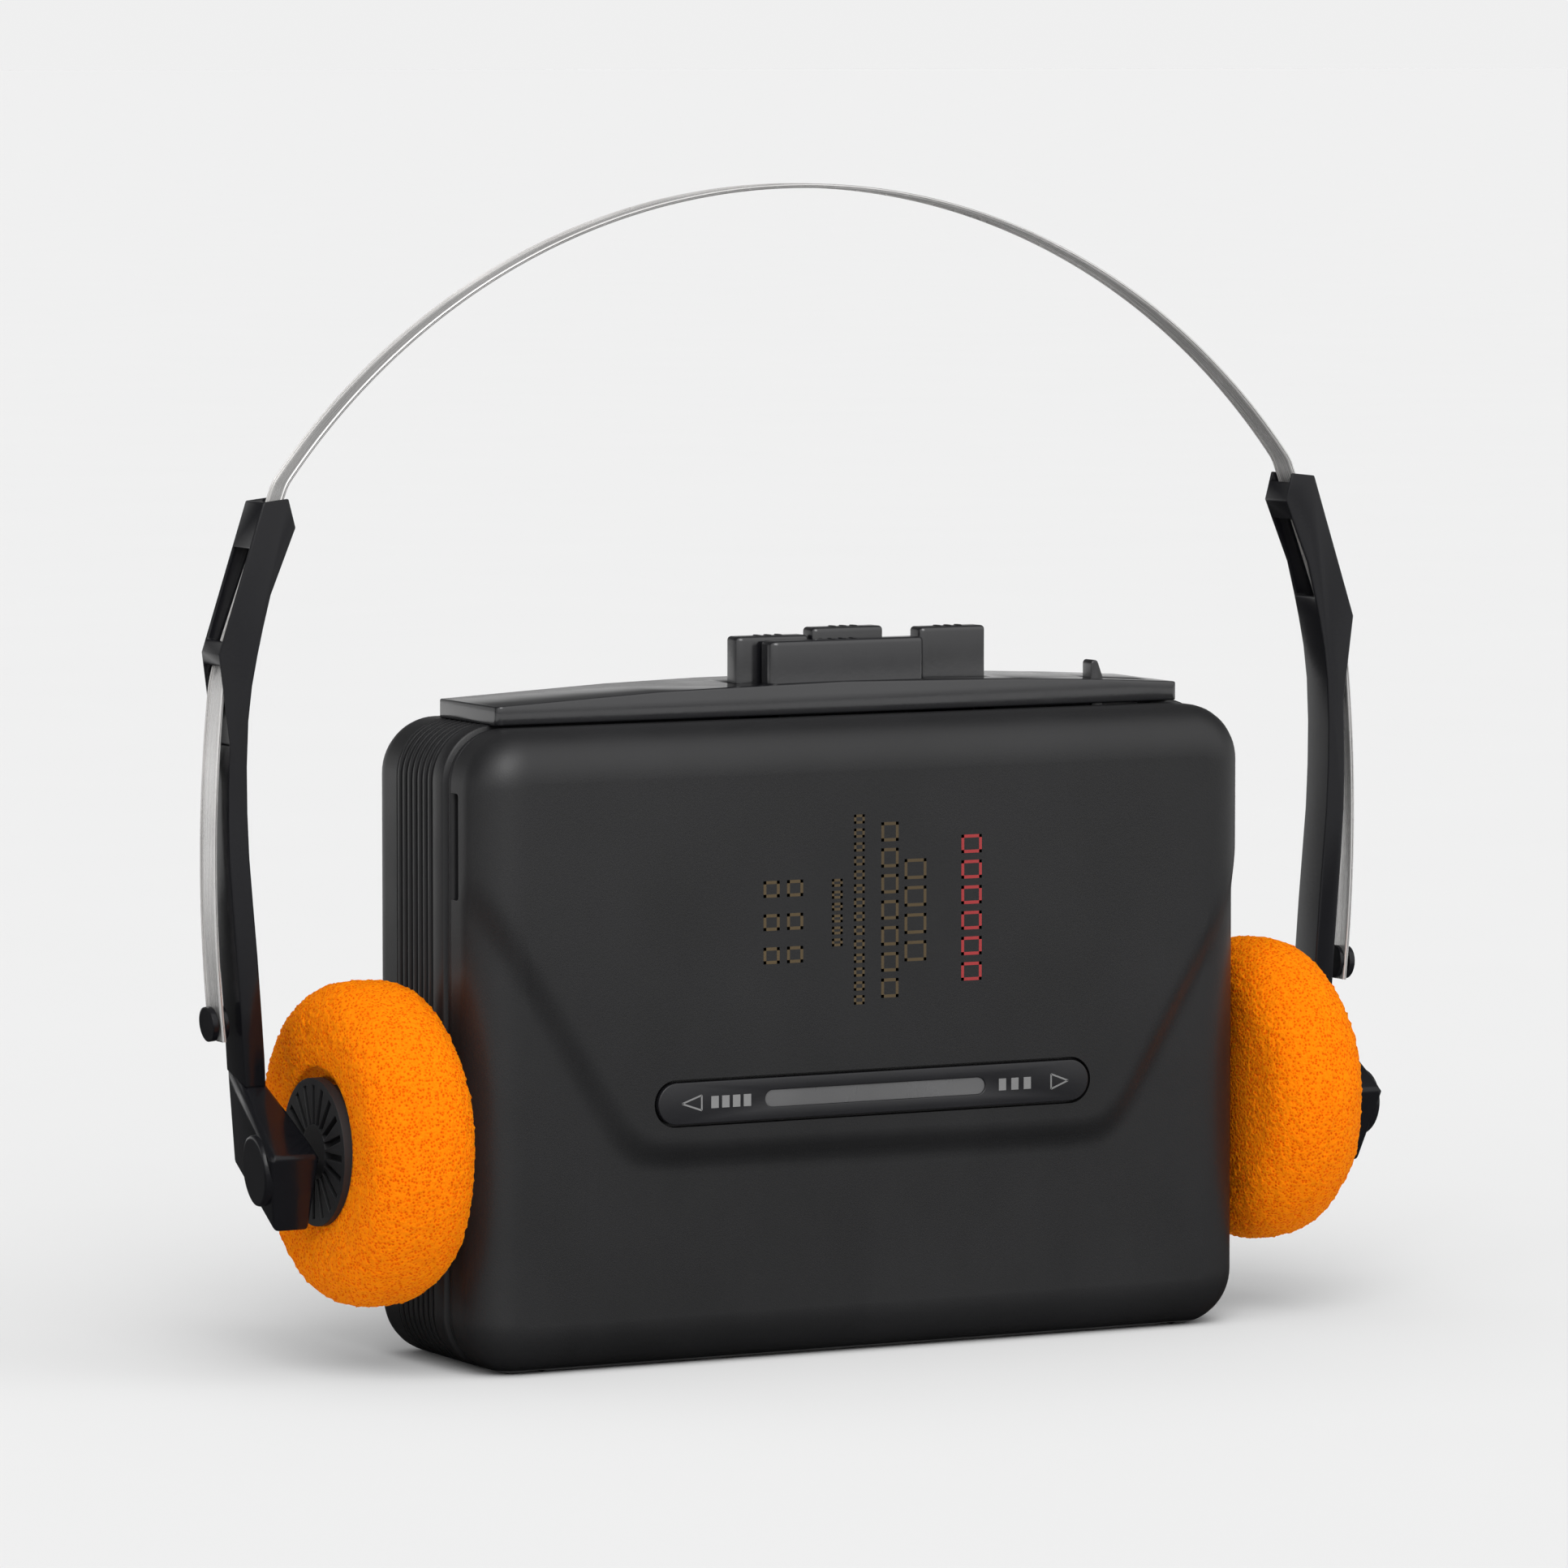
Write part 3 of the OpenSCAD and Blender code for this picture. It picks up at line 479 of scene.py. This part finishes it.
def skin(outline, insets, place, rim_y, counts, grid):
    """An open cap over a rounded rectangle, its rim at rim_y and place(u, v, inset) giving its points.
    With grid, the middle is a net of squares. Returns points, faces and the size of a ring."""
    half, low, high, r = outline
    n_side, n_end, n_arc = counts
    rings = [[(u, rim_y, v) for u, v in ring_uv(outline, 0, counts)]]
    for inset in insets:
        rings.append([place(u, v, inset) for u, v in ring_uv(outline, inset, counts)])
    size = len(rings[0])
    verts = [p for ring in rings for p in ring]
    faces = bridges(len(rings), size)
    last = (len(rings) - 1) * size
    if not grid:
        faces.append(tuple(range(last, last + size)))
        return verts, faces, size
    base = len(verts)
    columns, rows = n_side + 1, n_end + 1
    for j in range(rows):
        for i in range(columns):
            u = -(half - r) + 2 * (half - r) * i / n_side
            v = (low + r) + (high - low - 2 * r) * j / n_end
            verts.append(place(u, v, r))

    def at(i, j):
        return base + j * columns + i

    for j in range(n_end):
        faces += [(at(i, j), at(i + 1, j), at(i + 1, j + 1), at(i, j + 1)) for i in range(n_side)]
    # the last ring is sewn to the net's four edges, with a fan at each corner
    edges = [
        [at(i, n_end) for i in range(columns)],
        [at(n_side, n_end - j) for j in range(rows)],
        [at(n_side - i, 0) for i in range(columns)],
        [at(0, j) for j in range(rows)],
    ]
    k = last
    for run in edges:
        for i in range(len(run) - 1):
            faces.append((k + i, k + i + 1, run[i + 1], run[i]))
        k += len(run) - 1
        for _ in range(n_arc):
            faces.append((k, last + (k + 1 - last) % size, run[-1]))
            k += 1
    return verts, faces, size


def shell(outer, inner):
    """Two skins of the same ring count joined at their rims."""
    verts, faces = joined(outer[:2], inner[:2])
    return verts, faces + bridge(0, len(outer[0]), outer[2])


def elliptic(inset, width, depth):
    """How far a surface drops at inset from an edge that rounds over width and depth."""
    if inset >= width:
        return 0.0
    return depth * (1 - math.sqrt(max(0.0, 1 - ((width - inset) / width) ** 2)))


def round_insets(width, steps, reach, rest=3):
    """Insets that follow an edge's rounding closely, then go on evenly to reach."""
    insets = [width * (1 - math.cos(math.pi / 2 * k / steps)) for k in range(steps + 1)]
    return insets + [width + (reach - width) * (k + 1) / (rest + 1) for k in range(rest)]


# ---------- case ----------


def smooth(t):
    t = max(0.0, min(1.0, t))
    return t * t * (3 - 2 * t)


def line_distance(x, z, a, b):
    """Distance of a point to the left of the line from a to b."""
    dx, dz = b[0] - a[0], b[1] - a[1]
    return (dx * (z - a[1]) - dz * (x - a[0])) / math.hypot(dx, dz)


def flap_mask(x, z):
    """1 on the raised upper panel of the door, 0 below it, with soft slanted edges between."""
    edges = [line_distance(x, z, FLAP[i], FLAP[i + 1]) for i in (0, 2, 4)]
    near = FLAP_FAR
    if min(edges) < FLAP_FAR:
        near = -FLAP_BLEND * math.log(sum(math.exp(-distance / FLAP_BLEND) for distance in edges))
    return smooth((near + FLAP_FOOT) / FLAP_SLOPE)


def make_door():
    """The door: a raised panel, the badge's pocket, a window, finger notches and room for the ears."""
    half, top = door_high.x, door_high.z

    def outer(x, z, inset):
        return (x, DOOR_FRONT + FLAP_RAISE * flap_mask(x, z) + elliptic(inset, *DOOR_ROUND), z)

    def inner(x, z, inset):
        return (x, DOOR_FRONT + WALL + elliptic(inset, DOOR_INNER_ROUND, DOOR_INNER_ROUND), z)

    counts = (130, 86, 14)
    outside = skin((half, 0, top, CORNER), round_insets(DOOR_ROUND[0], 10, CORNER), outer, DOOR_SEAM,
                   counts, True)
    inside = skin((half - WALL, WALL, top - WALL, CORNER - WALL),
                  round_insets(DOOR_INNER_ROUND, 6, CORNER - WALL), inner, DOOR_SEAM, counts, False)
    door = piece("door_panel", *shell(outside, inside), door_black, "door", "shell_black", "door_shell")
    pocket = slab(pill(badge_high.x + 0.45, badge_high.z - badge_z + 0.4, badge_z), -25, -15.9)
    window = slab(pill(16.6, 1.2, badge_z), -25, 0)
    finger_notches = box_pair(58, 1.6, (-10.2, -5), (62.5, 76.5), 0.5)
    ear_slots = box_pair(EAR_X, 1.3, (-12.6, -7.2), (-1.1, 2.7), 0.15)
    cut(door, pocket, window, *finger_notches, *ear_slots)
    lugs = box_pair(50, 1, (-13.7, -10.7), (1.2, 5.8), 0.5)
    ledges = box_pair(37, 6, (-14.7, -9.8), (5, 5.85), 0.2)
    piece("door_lugs", *joined(*lugs, *ledges), inner_black, "door", "shell_black")


def make_rear():
    """The back half of the case, open at the battery bay, the volume wheel and the screws."""
    half, top = case_high.x, case_high.z
    back, seam = case_high.y, case_low.y

    def outer(x, z, inset):
        return (x, back - elliptic(inset, REAR_ROUND, REAR_ROUND), z)

    def inner(x, z, inset):
        return (x, back - WALL - elliptic(inset, REAR_INNER_ROUND, REAR_INNER_ROUND), z)

    counts = (24, 16, 14)
    outside = skin((half, 0, top, CORNER), round_insets(REAR_ROUND, 10, CORNER), outer, seam, counts, False)
    inside = skin((half - WALL, WALL, top - WALL, CORNER - WALL),
                  round_insets(REAR_INNER_ROUND, 6, CORNER - WALL), inner, seam, counts, False)
    rear = piece("rear_case", *shell(outside, inside), case_black, "player", "shell_black", "rear_shell")
    cover_low, cover_high = box_mm("battery_cover")
    gap = 0.25
    bay = round_box((cover_low.x - gap, 11, cover_low.z - gap), (cover_high.x + gap, 25, cover_high.z + gap),
                    0.3)
    wheel = round_box((51, 9.9, 50), (70, 13.1, 70), 0.3)
    screws = [slab(disc(x, z, 2.2), back - 0.8, 25) for x in (-50.5, 50.5) for z in (25, 77.5)]
    cut(rear, bay, wheel, *screws)


def make_frame():
    """The ribbed middle of the case: one profile swept round the outline."""
    seam = case_low.y
    pitch, rib, depth = 1.55, 0.95, 0.65
    rib_count = 7
    inside = 2.2
    profile = [(seam, inside)]
    for k in range(rib_count):
        y = seam - k * pitch
        profile += [(y - 0.02, 0.35), (y - 0.16, 0.06), (y - 0.3, 0.0)]
        profile += [(y - rib + 0.18, 0.0), (y - rib + 0.05, 0.06), (y - rib, 0.3)]
        profile += [(y - rib - 0.06, depth), (y - pitch + 0.06, depth)]
    y = seam - rib_count * pitch
    # the plain band in front of the ribs, a groove, and the lip that meets the door
    profile += [(y, 0.3), (y - 0.12, 0.05), (y - 0.3, 0.0)]
    profile += [(-5.55, 0.0), (-5.72, 0.06), (-5.8, 0.25), (-5.95, 0.75), (-6.2, 0.85), (-6.45, 0.7)]
    profile += [(-6.7, 0.5), (-7.0, 0.45), (-7.3, 0.55), (-7.5, 0.8), (-7.6, 1.1), (-7.6, inside)]
    rings = [[(u, y, v) for u, v in ring_uv((case_high.x, 0, case_high.z, CORNER), inset, (40, 26, 16))]
             for y, inset in profile]
    verts, faces = [p for ring in rings for p in ring], bridges(len(rings), len(rings[0]), closed=True)
    ring_body = piece("ribbed_ring", verts, faces, case_black, "player", "shell_black", "ribbed_frame")
    first_key, last_key = box_mm("rewind_key")[0], box_mm("forward_key")[1]
    key_slot = round_box((first_key.x - 0.5, -6.9, 80), (last_key.x + 0.5, last_key.y + 0.6, 90), 0.1, 1)
    lever_slot = round_box((39, -5.9, 80), (48.4, -2.6, 90), 0.1, 1)
    cut(ring_body, key_slot, lever_slot)
    mark_sharp(ring_body.data, 50)
    ears = box_pair(EAR_X, 0.9, (-13.8, -4), (2.7, 5.9), 0.4)
    piece("door_ears", *joined(*ears), inner_black, "player", "shell_black")


# ---------- keys ----------


def make_key(node, name, body, corner_left):
    """A key's cap with one rounder front corner, three grip ridges on top and its stem."""
    low, high = box_mm(node)
    cap_low = Vector((low.x, low.y, KEY_CAP_FOOT))
    middle = (high + cap_low) / 2
    bm = box_bmesh(cap_low, high)
    upright = [e for e in bm.edges if abs(e.verts[0].co.z - e.verts[1].co.z) > 1]
    front_left = [e for e in upright if e.verts[0].co.x < middle.x and e.verts[0].co.y < middle.y]
    others = [e for e in upright if e not in front_left]
    bevel(bm, front_left, corner_left, 6)
    bevel(bm, [e for e in others if e.is_valid], 0.45, 4)
    top = max(v.co.z for v in bm.verts)
    rim = [e for e in bm.edges if all(abs(v.co.z - top) < 1e-4 for v in e.verts) and len(e.link_faces) == 2
           and any(abs(f.normal.z) < 0.5 for f in e.link_faces)]
    bevel(bm, rim, 0.55, 4)
    ridges = []
    for k in (-1, 0, 1):
        x = middle.x + k * 1.6
        ridges.append(round_box((x - 0.3, low.y + 0.9, high.z - 0.5), (x + 0.3, high.y - 0.9, high.z + 0.14),
                                0.1, 2))
    stem = round_box((low.x + 1.6, max(low.y + 0.5, -6.6), low.z),
                     (high.x - 1.6, high.y - 0.7, KEY_CAP_FOOT + 0.5), 0.2, 2)
    piece(name, *joined(released(bm), stem, *ridges), gloss_black, body, "gloss_black", node)


# ---------- print on the door ----------


def print_marks(name, columns, look):
    """Thin-lined boxes in upright columns on the raised panel. A column is its X and Z range, the
    number of boxes and how much of its share of the height each one fills."""
    parts = []
    depth = (door_low.y - PRINT_LIFT, door_low.y + PRINT_SINK)
    for x_low, x_high, z_low, z_high, count, fill in columns:
        pitch = (z_high - z_low) / count
        line = min(0.42, 0.22 * (x_high - x_low))
        for k in range(count):
            z, top = z_low + k * pitch, z_low + (k + fill) * pitch
            parts += [plate(x_low, x_low + line, z, top, *depth), plate(x_high - line, x_high, z, top, *depth),
                      plate(x_low, x_high, z, z + line, *depth), plate(x_low, x_high, top - line, top, *depth)]
    piece(name, *joined(*parts), look, "door", "shell_black")


def stroke(p, q, width, y_low, y_high):
    """A straight line of some width from p to q in X and Z, made solid."""
    dx, dz = q[0] - p[0], q[1] - p[1]
    length = math.hypot(dx, dz)
    nx, nz = -dz / length * width / 2, dx / length * width / 2
    outline = [(p[0] + nx, p[1] + nz), (q[0] + nx, q[1] + nz), (q[0] - nx, q[1] - nz), (p[0] - nx, p[1] - nz)]
    return slab(outline, y_low, y_high)


def badge_marks():
    """Plain arrow heads at the badge's two ends and a few short bars beside each."""
    z = badge_z
    depth = (badge_low.y - 0.02, badge_low.y + PRINT_SINK)
    parts = []
    for tip, back, first_bar, pitch, count in ((-28.9, -26.0, -24.6, 1.6, 4), (29.2, 26.6, 18.6, 1.9, 3)):
        a, b, c = (tip, z), (back, z + 1.0), (back, z - 1.0)
        parts += [stroke(p, q, 0.22, *depth) for p, q in ((a, b), (b, c), (c, a))]
        for k in range(count):
            x = first_bar + k * pitch
            parts.append(plate(x, x + 1.1, z - 0.8, z + 0.8, *depth))
    piece("badge_marks", *joined(*parts), pale_print, "door", "gloss_black")


# ---------- headset ----------


def make_band():
    """The spring-steel strip as one smooth run, with rounded edges."""
    arch_r, top, arch_angle, arch_steps = 94.3, 154.9, 53, 96
    points = []
    for k in range(arch_steps + 1):
        a = math.radians(arch_angle * k / arch_steps)
        points.append((arch_r * math.sin(a), top - arch_r * (1 - math.cos(a))))

    def turn(start_tilt, end_tilt, r, steps):
        """Carries the line on along an arc, from one tilt away from upright to another."""
        x, z = points[-1]
        start = math.radians(start_tilt)
        for k in range(1, steps + 1):
            t = math.radians(start_tilt + (end_tilt - start_tilt) * k / steps)
            points.append((x + r * (math.cos(t) - math.cos(start)), z + r * (math.sin(t) - math.sin(start))))

    slide_tilt, slide_run, slide_steps = 20, 23, 10
    turn(90 - arch_angle, slide_tilt, 6, 8)
    x, z = points[-1]
    t = math.radians(slide_tilt)
    for k in range(1, slide_steps + 1):
        run = slide_run * k / slide_steps
        points.append((x + run * math.sin(t), z - run * math.cos(t)))
    turn(slide_tilt, 6, 20, 8)
    turn(6, -6, 217, 24)
    line = [(-x, z) for x, z in reversed(points[1:])] + points
    y_mid, half_w, half_t = (band_low.y + band_high.y) / 2, (band_high.y - band_low.y) / 2, 0.3
    edge = 0.25
    section = []
    for sy, sn in ((1, 1), (-1, 1), (-1, -1), (1, -1)):
        for k in range(4):
            a = math.pi / 2 * k / 3
            along, out = (math.sin(a), math.cos(a)) if sy * sn > 0 else (math.cos(a), math.sin(a))
            section.append((sy * (half_w - edge + edge * along), sn * (half_t - edge + edge * out)))
    verts = []
    n, size = len(line), len(section)
    for i, (x, z) in enumerate(line):
        ax, az = line[max(i - 1, 0)]
        bx, bz = line[min(i + 1, n - 1)]
        length = math.hypot(bx - ax, bz - az)
        nx, nz = -(bz - az) / length, (bx - ax) / length
        verts += [(x + nx * d, y_mid + w, z + nz * d) for w, d in section]
    faces = bridges(n, size) + [tuple(range(size)), tuple(range((n - 1) * size, n * size))]
    band = piece("steel_band", verts, faces, spring_steel, "headset", "spring_steel", "headband")
    mark_sharp(band.data, 60)


def make_foot(node, name, body):
    """The wedge from an arm's end to its ear cup: ten corners joined up, with softened edges."""
    low, high = box_mm(node)
    side = -1 if low.x < 0 else 1
    inner, outer = sorted((abs(low.x), abs(high.x)))
    corners = [(inner + x, low.y + y, low.z + z) for x, y, z in (
        (2.3, 11.6, 18.2), (5.5, 11.6, 18.2), (2.3, 17.4, 19.94), (5.5, 17.4, 19.94),
        (2.3, 14.7, 8.1), (5.8, 14.7, 8.1), (0.2, 3.4, 0.0), (5.1, 3.4, 0.0))]
    corners += [(x, low.y, low.z + 10.3) for x in (inner, outer)]
    bm = bmesh.new()
    for x, y, z in corners:
        bm.verts.new((side * x, y, z))
    bmesh.ops.convex_hull(bm, input=bm.verts)
    bmesh.ops.dissolve_limit(bm, angle_limit=math.radians(0.5), verts=bm.verts, edges=bm.edges)
    # the edges against the arm stay sharp
    soft = [e for e in bm.edges if min(v.co.z for v in e.verts) < high.z - 2.5 and e.calc_face_angle(0) > 0.2]
    bevel(bm, soft, 0.6, 4, clamp=True)
    piece(name, *released(bm), arm_black, body, "shell_black", node)


def make_button(node, name, body):
    """The round cap let into the outside of a bracket, square to the bracket's face."""
    low, high = box_mm(node)
    side = -1 if low.x < 0 else 1
    outer = max(abs(low.x), abs(high.x))
    r, steps = 0.5 * (high.z - low.z) - 0.35, 48
    axis = Vector((side * 0.993, 0.094, -0.07)).normalized()
    across = axis.cross(Vector((0, 0, 1))).normalized()
    up = across.cross(axis)
    face = Vector((side * (outer - 0.65), (low.y + high.y) / 2, (low.z + high.z) / 2))
    rings = [(r, -1.6), (r, -0.3), (r - 0.09, -0.09), (r - 0.3, 0.0), (r - 0.5, 0.0)]
    verts = []
    for radius, depth in rings:
        for k in range(steps):
            a = math.tau * k / steps
            verts.append(face + axis * depth + (across * math.cos(a) + up * math.sin(a)) * radius)
    first_centre = len(verts)
    verts += [face - axis * 1.6, face]
    faces = bridges(len(rings), steps)
    last = first_centre - steps
    for k in range(steps):
        j = (k + 1) % steps
        faces += [(first_centre, j, k), (first_centre + 1, last + k, last + j)]
    piece(name, verts, faces, arm_black, body, "gloss_black", node)


def pad_profile(r, thick, shoulder):
    """Depth and radius from the middle of a pad's inner face, over the rim and the shoulder, down into
    the driver's pocket."""
    inner_round, throat, pocket_r, lip = 6.0, 10.3, 8.95, 0.5
    quarter = math.pi / 2
    profile = [(0.0, (r - inner_round) * k / 36) for k in range(36)]
    for k in range(33):
        a = quarter * k / 32
        profile.append((inner_round * (1 - math.cos(a)), r - inner_round * (1 - math.sin(a))))
    rim = thick - inner_round - shoulder
    for k in range(1, 9):
        profile.append((inner_round + rim * k / 9, r + 0.1 * math.sin(math.pi * k / 9)))
    for k in range(29):
        a = quarter * k / 28
        profile.append((thick - shoulder * (1 - math.sin(a)), r - shoulder * (1 - math.cos(a))))
    mouth = r - shoulder
    for k in range(1, 15):
        t = k / 14
        profile.append((thick - lip * t * t, mouth + (throat - mouth) * t))
    for k in range(1, 9):
        a = quarter * k / 8
        profile.append((thick - lip - 1.3 * math.sin(a), pocket_r + (throat - pocket_r) * math.cos(a)))
    profile += [(thick - 1.8 - k, pocket_r) for k in range(1, 5)]
    return profile + [(thick - 5.8, pocket_r * (1 - k / 7)) for k in range(1, 7)]


def roughen(mesh, centre_y, centre_z, side):
    """Pushes a pad's points along their normals: slow lumps and fine open cells, but none where the
    driver sits."""
    normals = [v.normal.copy() for v in mesh.vertices]
    for v, normal in zip(mesh.vertices, normals):
        p = v.co / MM
        lump = noise.noise(p * 0.11 + Vector((side * 9, 3, 0))) * 0.3
        pore = noise.noise(p * 1.3) * 0.16 + noise.noise(p * 3.1) * 0.26
        near_driver = math.hypot(p.y - centre_y, p.z - centre_z) < 10.6
        v.co += normal * (0 if near_driver else lump + pore) * MM


def make_pad(node, name, body):
    """A foam ear pad: a thick cushion with a pocket for the driver and a rough open-cell skin."""
    low, high = box_mm(node)
    side = -1 if low.x < 0 else 1
    inner_x, outer_x = (high.x, low.x) if side < 0 else (low.x, high.x)
    cy, cz = (low.y + high.y) / 2, (low.z + high.z) / 2
    # the two pads are worn differently: the left one is fuller and has a tighter shoulder
    wear, shoulder = (0.7, 5.5) if side < 0 else (1.2, 8.0)
    profile = pad_profile((high.z - low.z) / 2 - wear, abs(outer_x - inner_x) - 0.2, shoulder)
    steps = 260
    verts = []
    for depth, radius in profile:
        x = inner_x + side * (0.05 + depth)
        for k in range(steps):
            a = math.tau * k / steps
            verts.append((x, cy + radius * math.cos(a), cz + radius * math.sin(a)))
    verts.append((inner_x + side * (0.05 + profile[-1][0]), cy, cz))
    faces = bridges(len(profile), steps)
    last, centre = (len(profile) - 1) * steps, len(verts) - 1
    faces += [(last + k, last + (k + 1) % steps, centre) for k in range(steps)]
    pad = piece(name, verts, faces, orange_foam, body, "orange_foam", node)
    roughen(pad.data, cy, cz, side)
    bm = bmesh.new()
    bm.from_mesh(pad.data)
    bmesh.ops.remove_doubles(bm, verts=bm.verts, dist=0.05 * MM)
    bm.to_mesh(pad.data)
    bm.free()
    mark_sharp(pad.data, 180)
    pad.visible_diffuse = False


# ---------- the pieces ----------

make_door()
make_rear()
make_frame()
refined("top_cover", "top_panel", gloss_black, "player", edge=0.3)
refined("mode_slider", "mode_lever", gloss_black, "mode", edge=0.15)
refined("badge_plate", "door_badge", badge_black, "door", edge=0.2)
refined("battery_lid", "battery_cover", case_black, "battery_door", edge=0.2)
for side in ("left", "right"):
    arm = f"arm_{side}"
    refined(f"{side}_slider_arm", f"{side}_arm", arm_black, arm, edge=0.3, sharp=30)
    make_foot(f"{side}_bracket", f"{side}_foot", arm)
    make_button(f"{side}_cap", f"{side}_button", arm)

make_key("play_key", "front_key", "play", 1.3)
make_key("rewind_key", "left_key", "rewind", 1.1)
make_key("stop_key", "middle_key", "stop", 0.9)
make_key("forward_key", "right_key", "forward", 0.9)

make_band()
make_pad("left_pad", "left_foam", "cup_left")
make_pad("right_pad", "right_foam", "cup_right")

print_marks("maker_marks", [(13.0, 16.1, 49.3, 69.8, 6, 0.72)], red_print)
print_marks("type_marks", [
    (4.4, 7.7, 52.3, 66.9, 4, 0.74), (0.9, 3.5, 47.6, 71.9, 7, 0.74), (-3.2, -1.6, 46.9, 72.8, 14, 0.66),
    (-6.5, -4.9, 54.8, 64.3, 6, 0.66), (-13.2, -10.8, 52.9, 66.1, 3, 0.5), (-16.7, -14.3, 52.9, 66.1, 3, 0.5),
], bronze_print)
badge_marks()


# ---------- stage, light and camera ----------

FLOOR, FLOOR_REACH = 0.79, 60  # brightness and half width in metres
CARD_REACH, CARD_HEIGHT = 0.45, 0.0006
BACKDROP = 0.867


def flat_sheet(name, reach, z, shader):
    """A flat square sheet in metres, out to reach on each side."""
    mesh = bpy.data.meshes.new(name)
    mesh.from_pydata([(-reach, -reach, z), (reach, -reach, z), (reach, reach, z), (-reach, reach, z)], [],
                     [(0, 1, 2, 3)])
    mesh.materials.append(shader.material)
    sheet = bpy.data.objects.new(name, mesh)
    scene.collection.objects.link(sheet)
    return sheet


def make_floor():
    paper = Shader("floor_paper")
    paper.feed(paper.ramp(paper.noise(14), [(0.3, (FLOOR,) * 3), (0.7, (FLOOR * 1.006,) * 3)]), "Base Color")
    paper.set(Roughness=0.9, Specular_IOR_Level=0.0)
    flat_sheet("floor", FLOOR_REACH, 0, paper)
    # a dark card that only shows in reflections, so that low faces don't mirror the pale floor
    card = Shader("flag_card")
    card.feed(card.ramp(card.noise(5), [(0.3, (0.02,) * 3), (0.7, (0.03,) * 3)]), "Base Color")
    flag = flat_sheet("floor_flag", CARD_REACH, CARD_HEIGHT, card)
    flag.visible_camera = False
    flag.visible_diffuse = False
    flag.visible_shadow = False
    flag.visible_transmission = False


def add_sun(name, energy, spread, direction):
    """A soft distant lamp. direction points from the object to the lamp, spread is in degrees."""
    sun = bpy.data.lights.new(name, "SUN")
    sun.energy = energy
    sun.angle = math.radians(spread)
    lamp = bpy.data.objects.new(name, sun)
    lamp.rotation_euler = Vector(direction).to_track_quat("Z", "Y").to_euler()
    scene.collection.objects.link(lamp)
    return lamp


def make_light():
    """Two soft lamps, and a world that the camera sees as a plain backdrop and the pieces as a room."""
    add_sun("overhead", 1.0, 80, (-0.15, 0.1, 1.0)).visible_glossy = False
    add_sun("front", 1.2, 40, (-0.3, -0.8, 0.72))
    world = bpy.data.worlds.new("studio")
    scene.world = world
    world.use_nodes = True
    tree = world.node_tree
    tree.nodes.clear()
    add, link = tree.nodes.new, tree.links.new
    split = add("ShaderNodeSeparateXYZ")
    link(add("ShaderNodeTexCoord").outputs["Generated"], split.inputs["Vector"])

    def graded(socket, from_low, from_high, low, high):
        node = add("ShaderNodeMapRange")
        node.interpolation_type = "SMOOTHSTEP"
        for key, value in (("From Min", from_low), ("From Max", from_high), ("To Min", low), ("To Max", high)):
            node.inputs[key].default_value = value
        link(split.outputs[socket], node.inputs["Value"])
        return node.outputs["Result"]

    def maths(operation, *values):
        node = add("ShaderNodeMath")
        node.operation = operation
        for socket, value in zip(node.inputs, values):
            if isinstance(value, float):
                socket.default_value = value
            else:
                link(value, socket)
        return node.outputs["Value"]

    # the room is dim, with a wide soft screen in front from eye level up and a pale band low all round
    screen = maths("MULTIPLY", graded("Y", 0.15, -0.35, 0.0, 1.0), graded("Z", -0.12, 0.2, 0.0, 1.0))
    dim_room = maths("MULTIPLY_ADD", screen, 0.95, 0.12)
    room = add("ShaderNodeBackground")
    link(maths("MAXIMUM", dim_room, graded("Z", 0.12, 0.35, 0.5, 0.0)), room.inputs["Color"])
    backdrop = add("ShaderNodeBackground")
    backdrop.inputs["Color"].default_value = (BACKDROP, BACKDROP, BACKDROP, 1)
    mix = add("ShaderNodeMixShader")
    link(add("ShaderNodeLightPath").outputs["Is Camera Ray"], mix.inputs["Fac"])
    link(room.outputs["Background"], mix.inputs[1])
    link(backdrop.outputs["Background"], mix.inputs[2])
    link(mix.outputs["Shader"], add("ShaderNodeOutputWorld").inputs["Surface"])


def make_camera():
    """A long lens from the front left, at the photo's angle."""
    data = bpy.data.cameras.new("camera")
    data.sensor_width = 36
    data.lens = 205.55
    data.clip_start = 0.05
    data.clip_end = 200
    camera = bpy.data.objects.new("camera", data)
    camera.location = (-0.55765, -1.05907, 0.17348)
    target = Vector((-0.00462, 0, 0.07504))
    camera.rotation_euler = (target - camera.location).to_track_quat("-Z", "Y").to_euler()
    scene.collection.objects.link(camera)
    scene.camera = camera


make_floor()
make_light()
make_camera()
scene.view_settings.view_transform = "Standard"
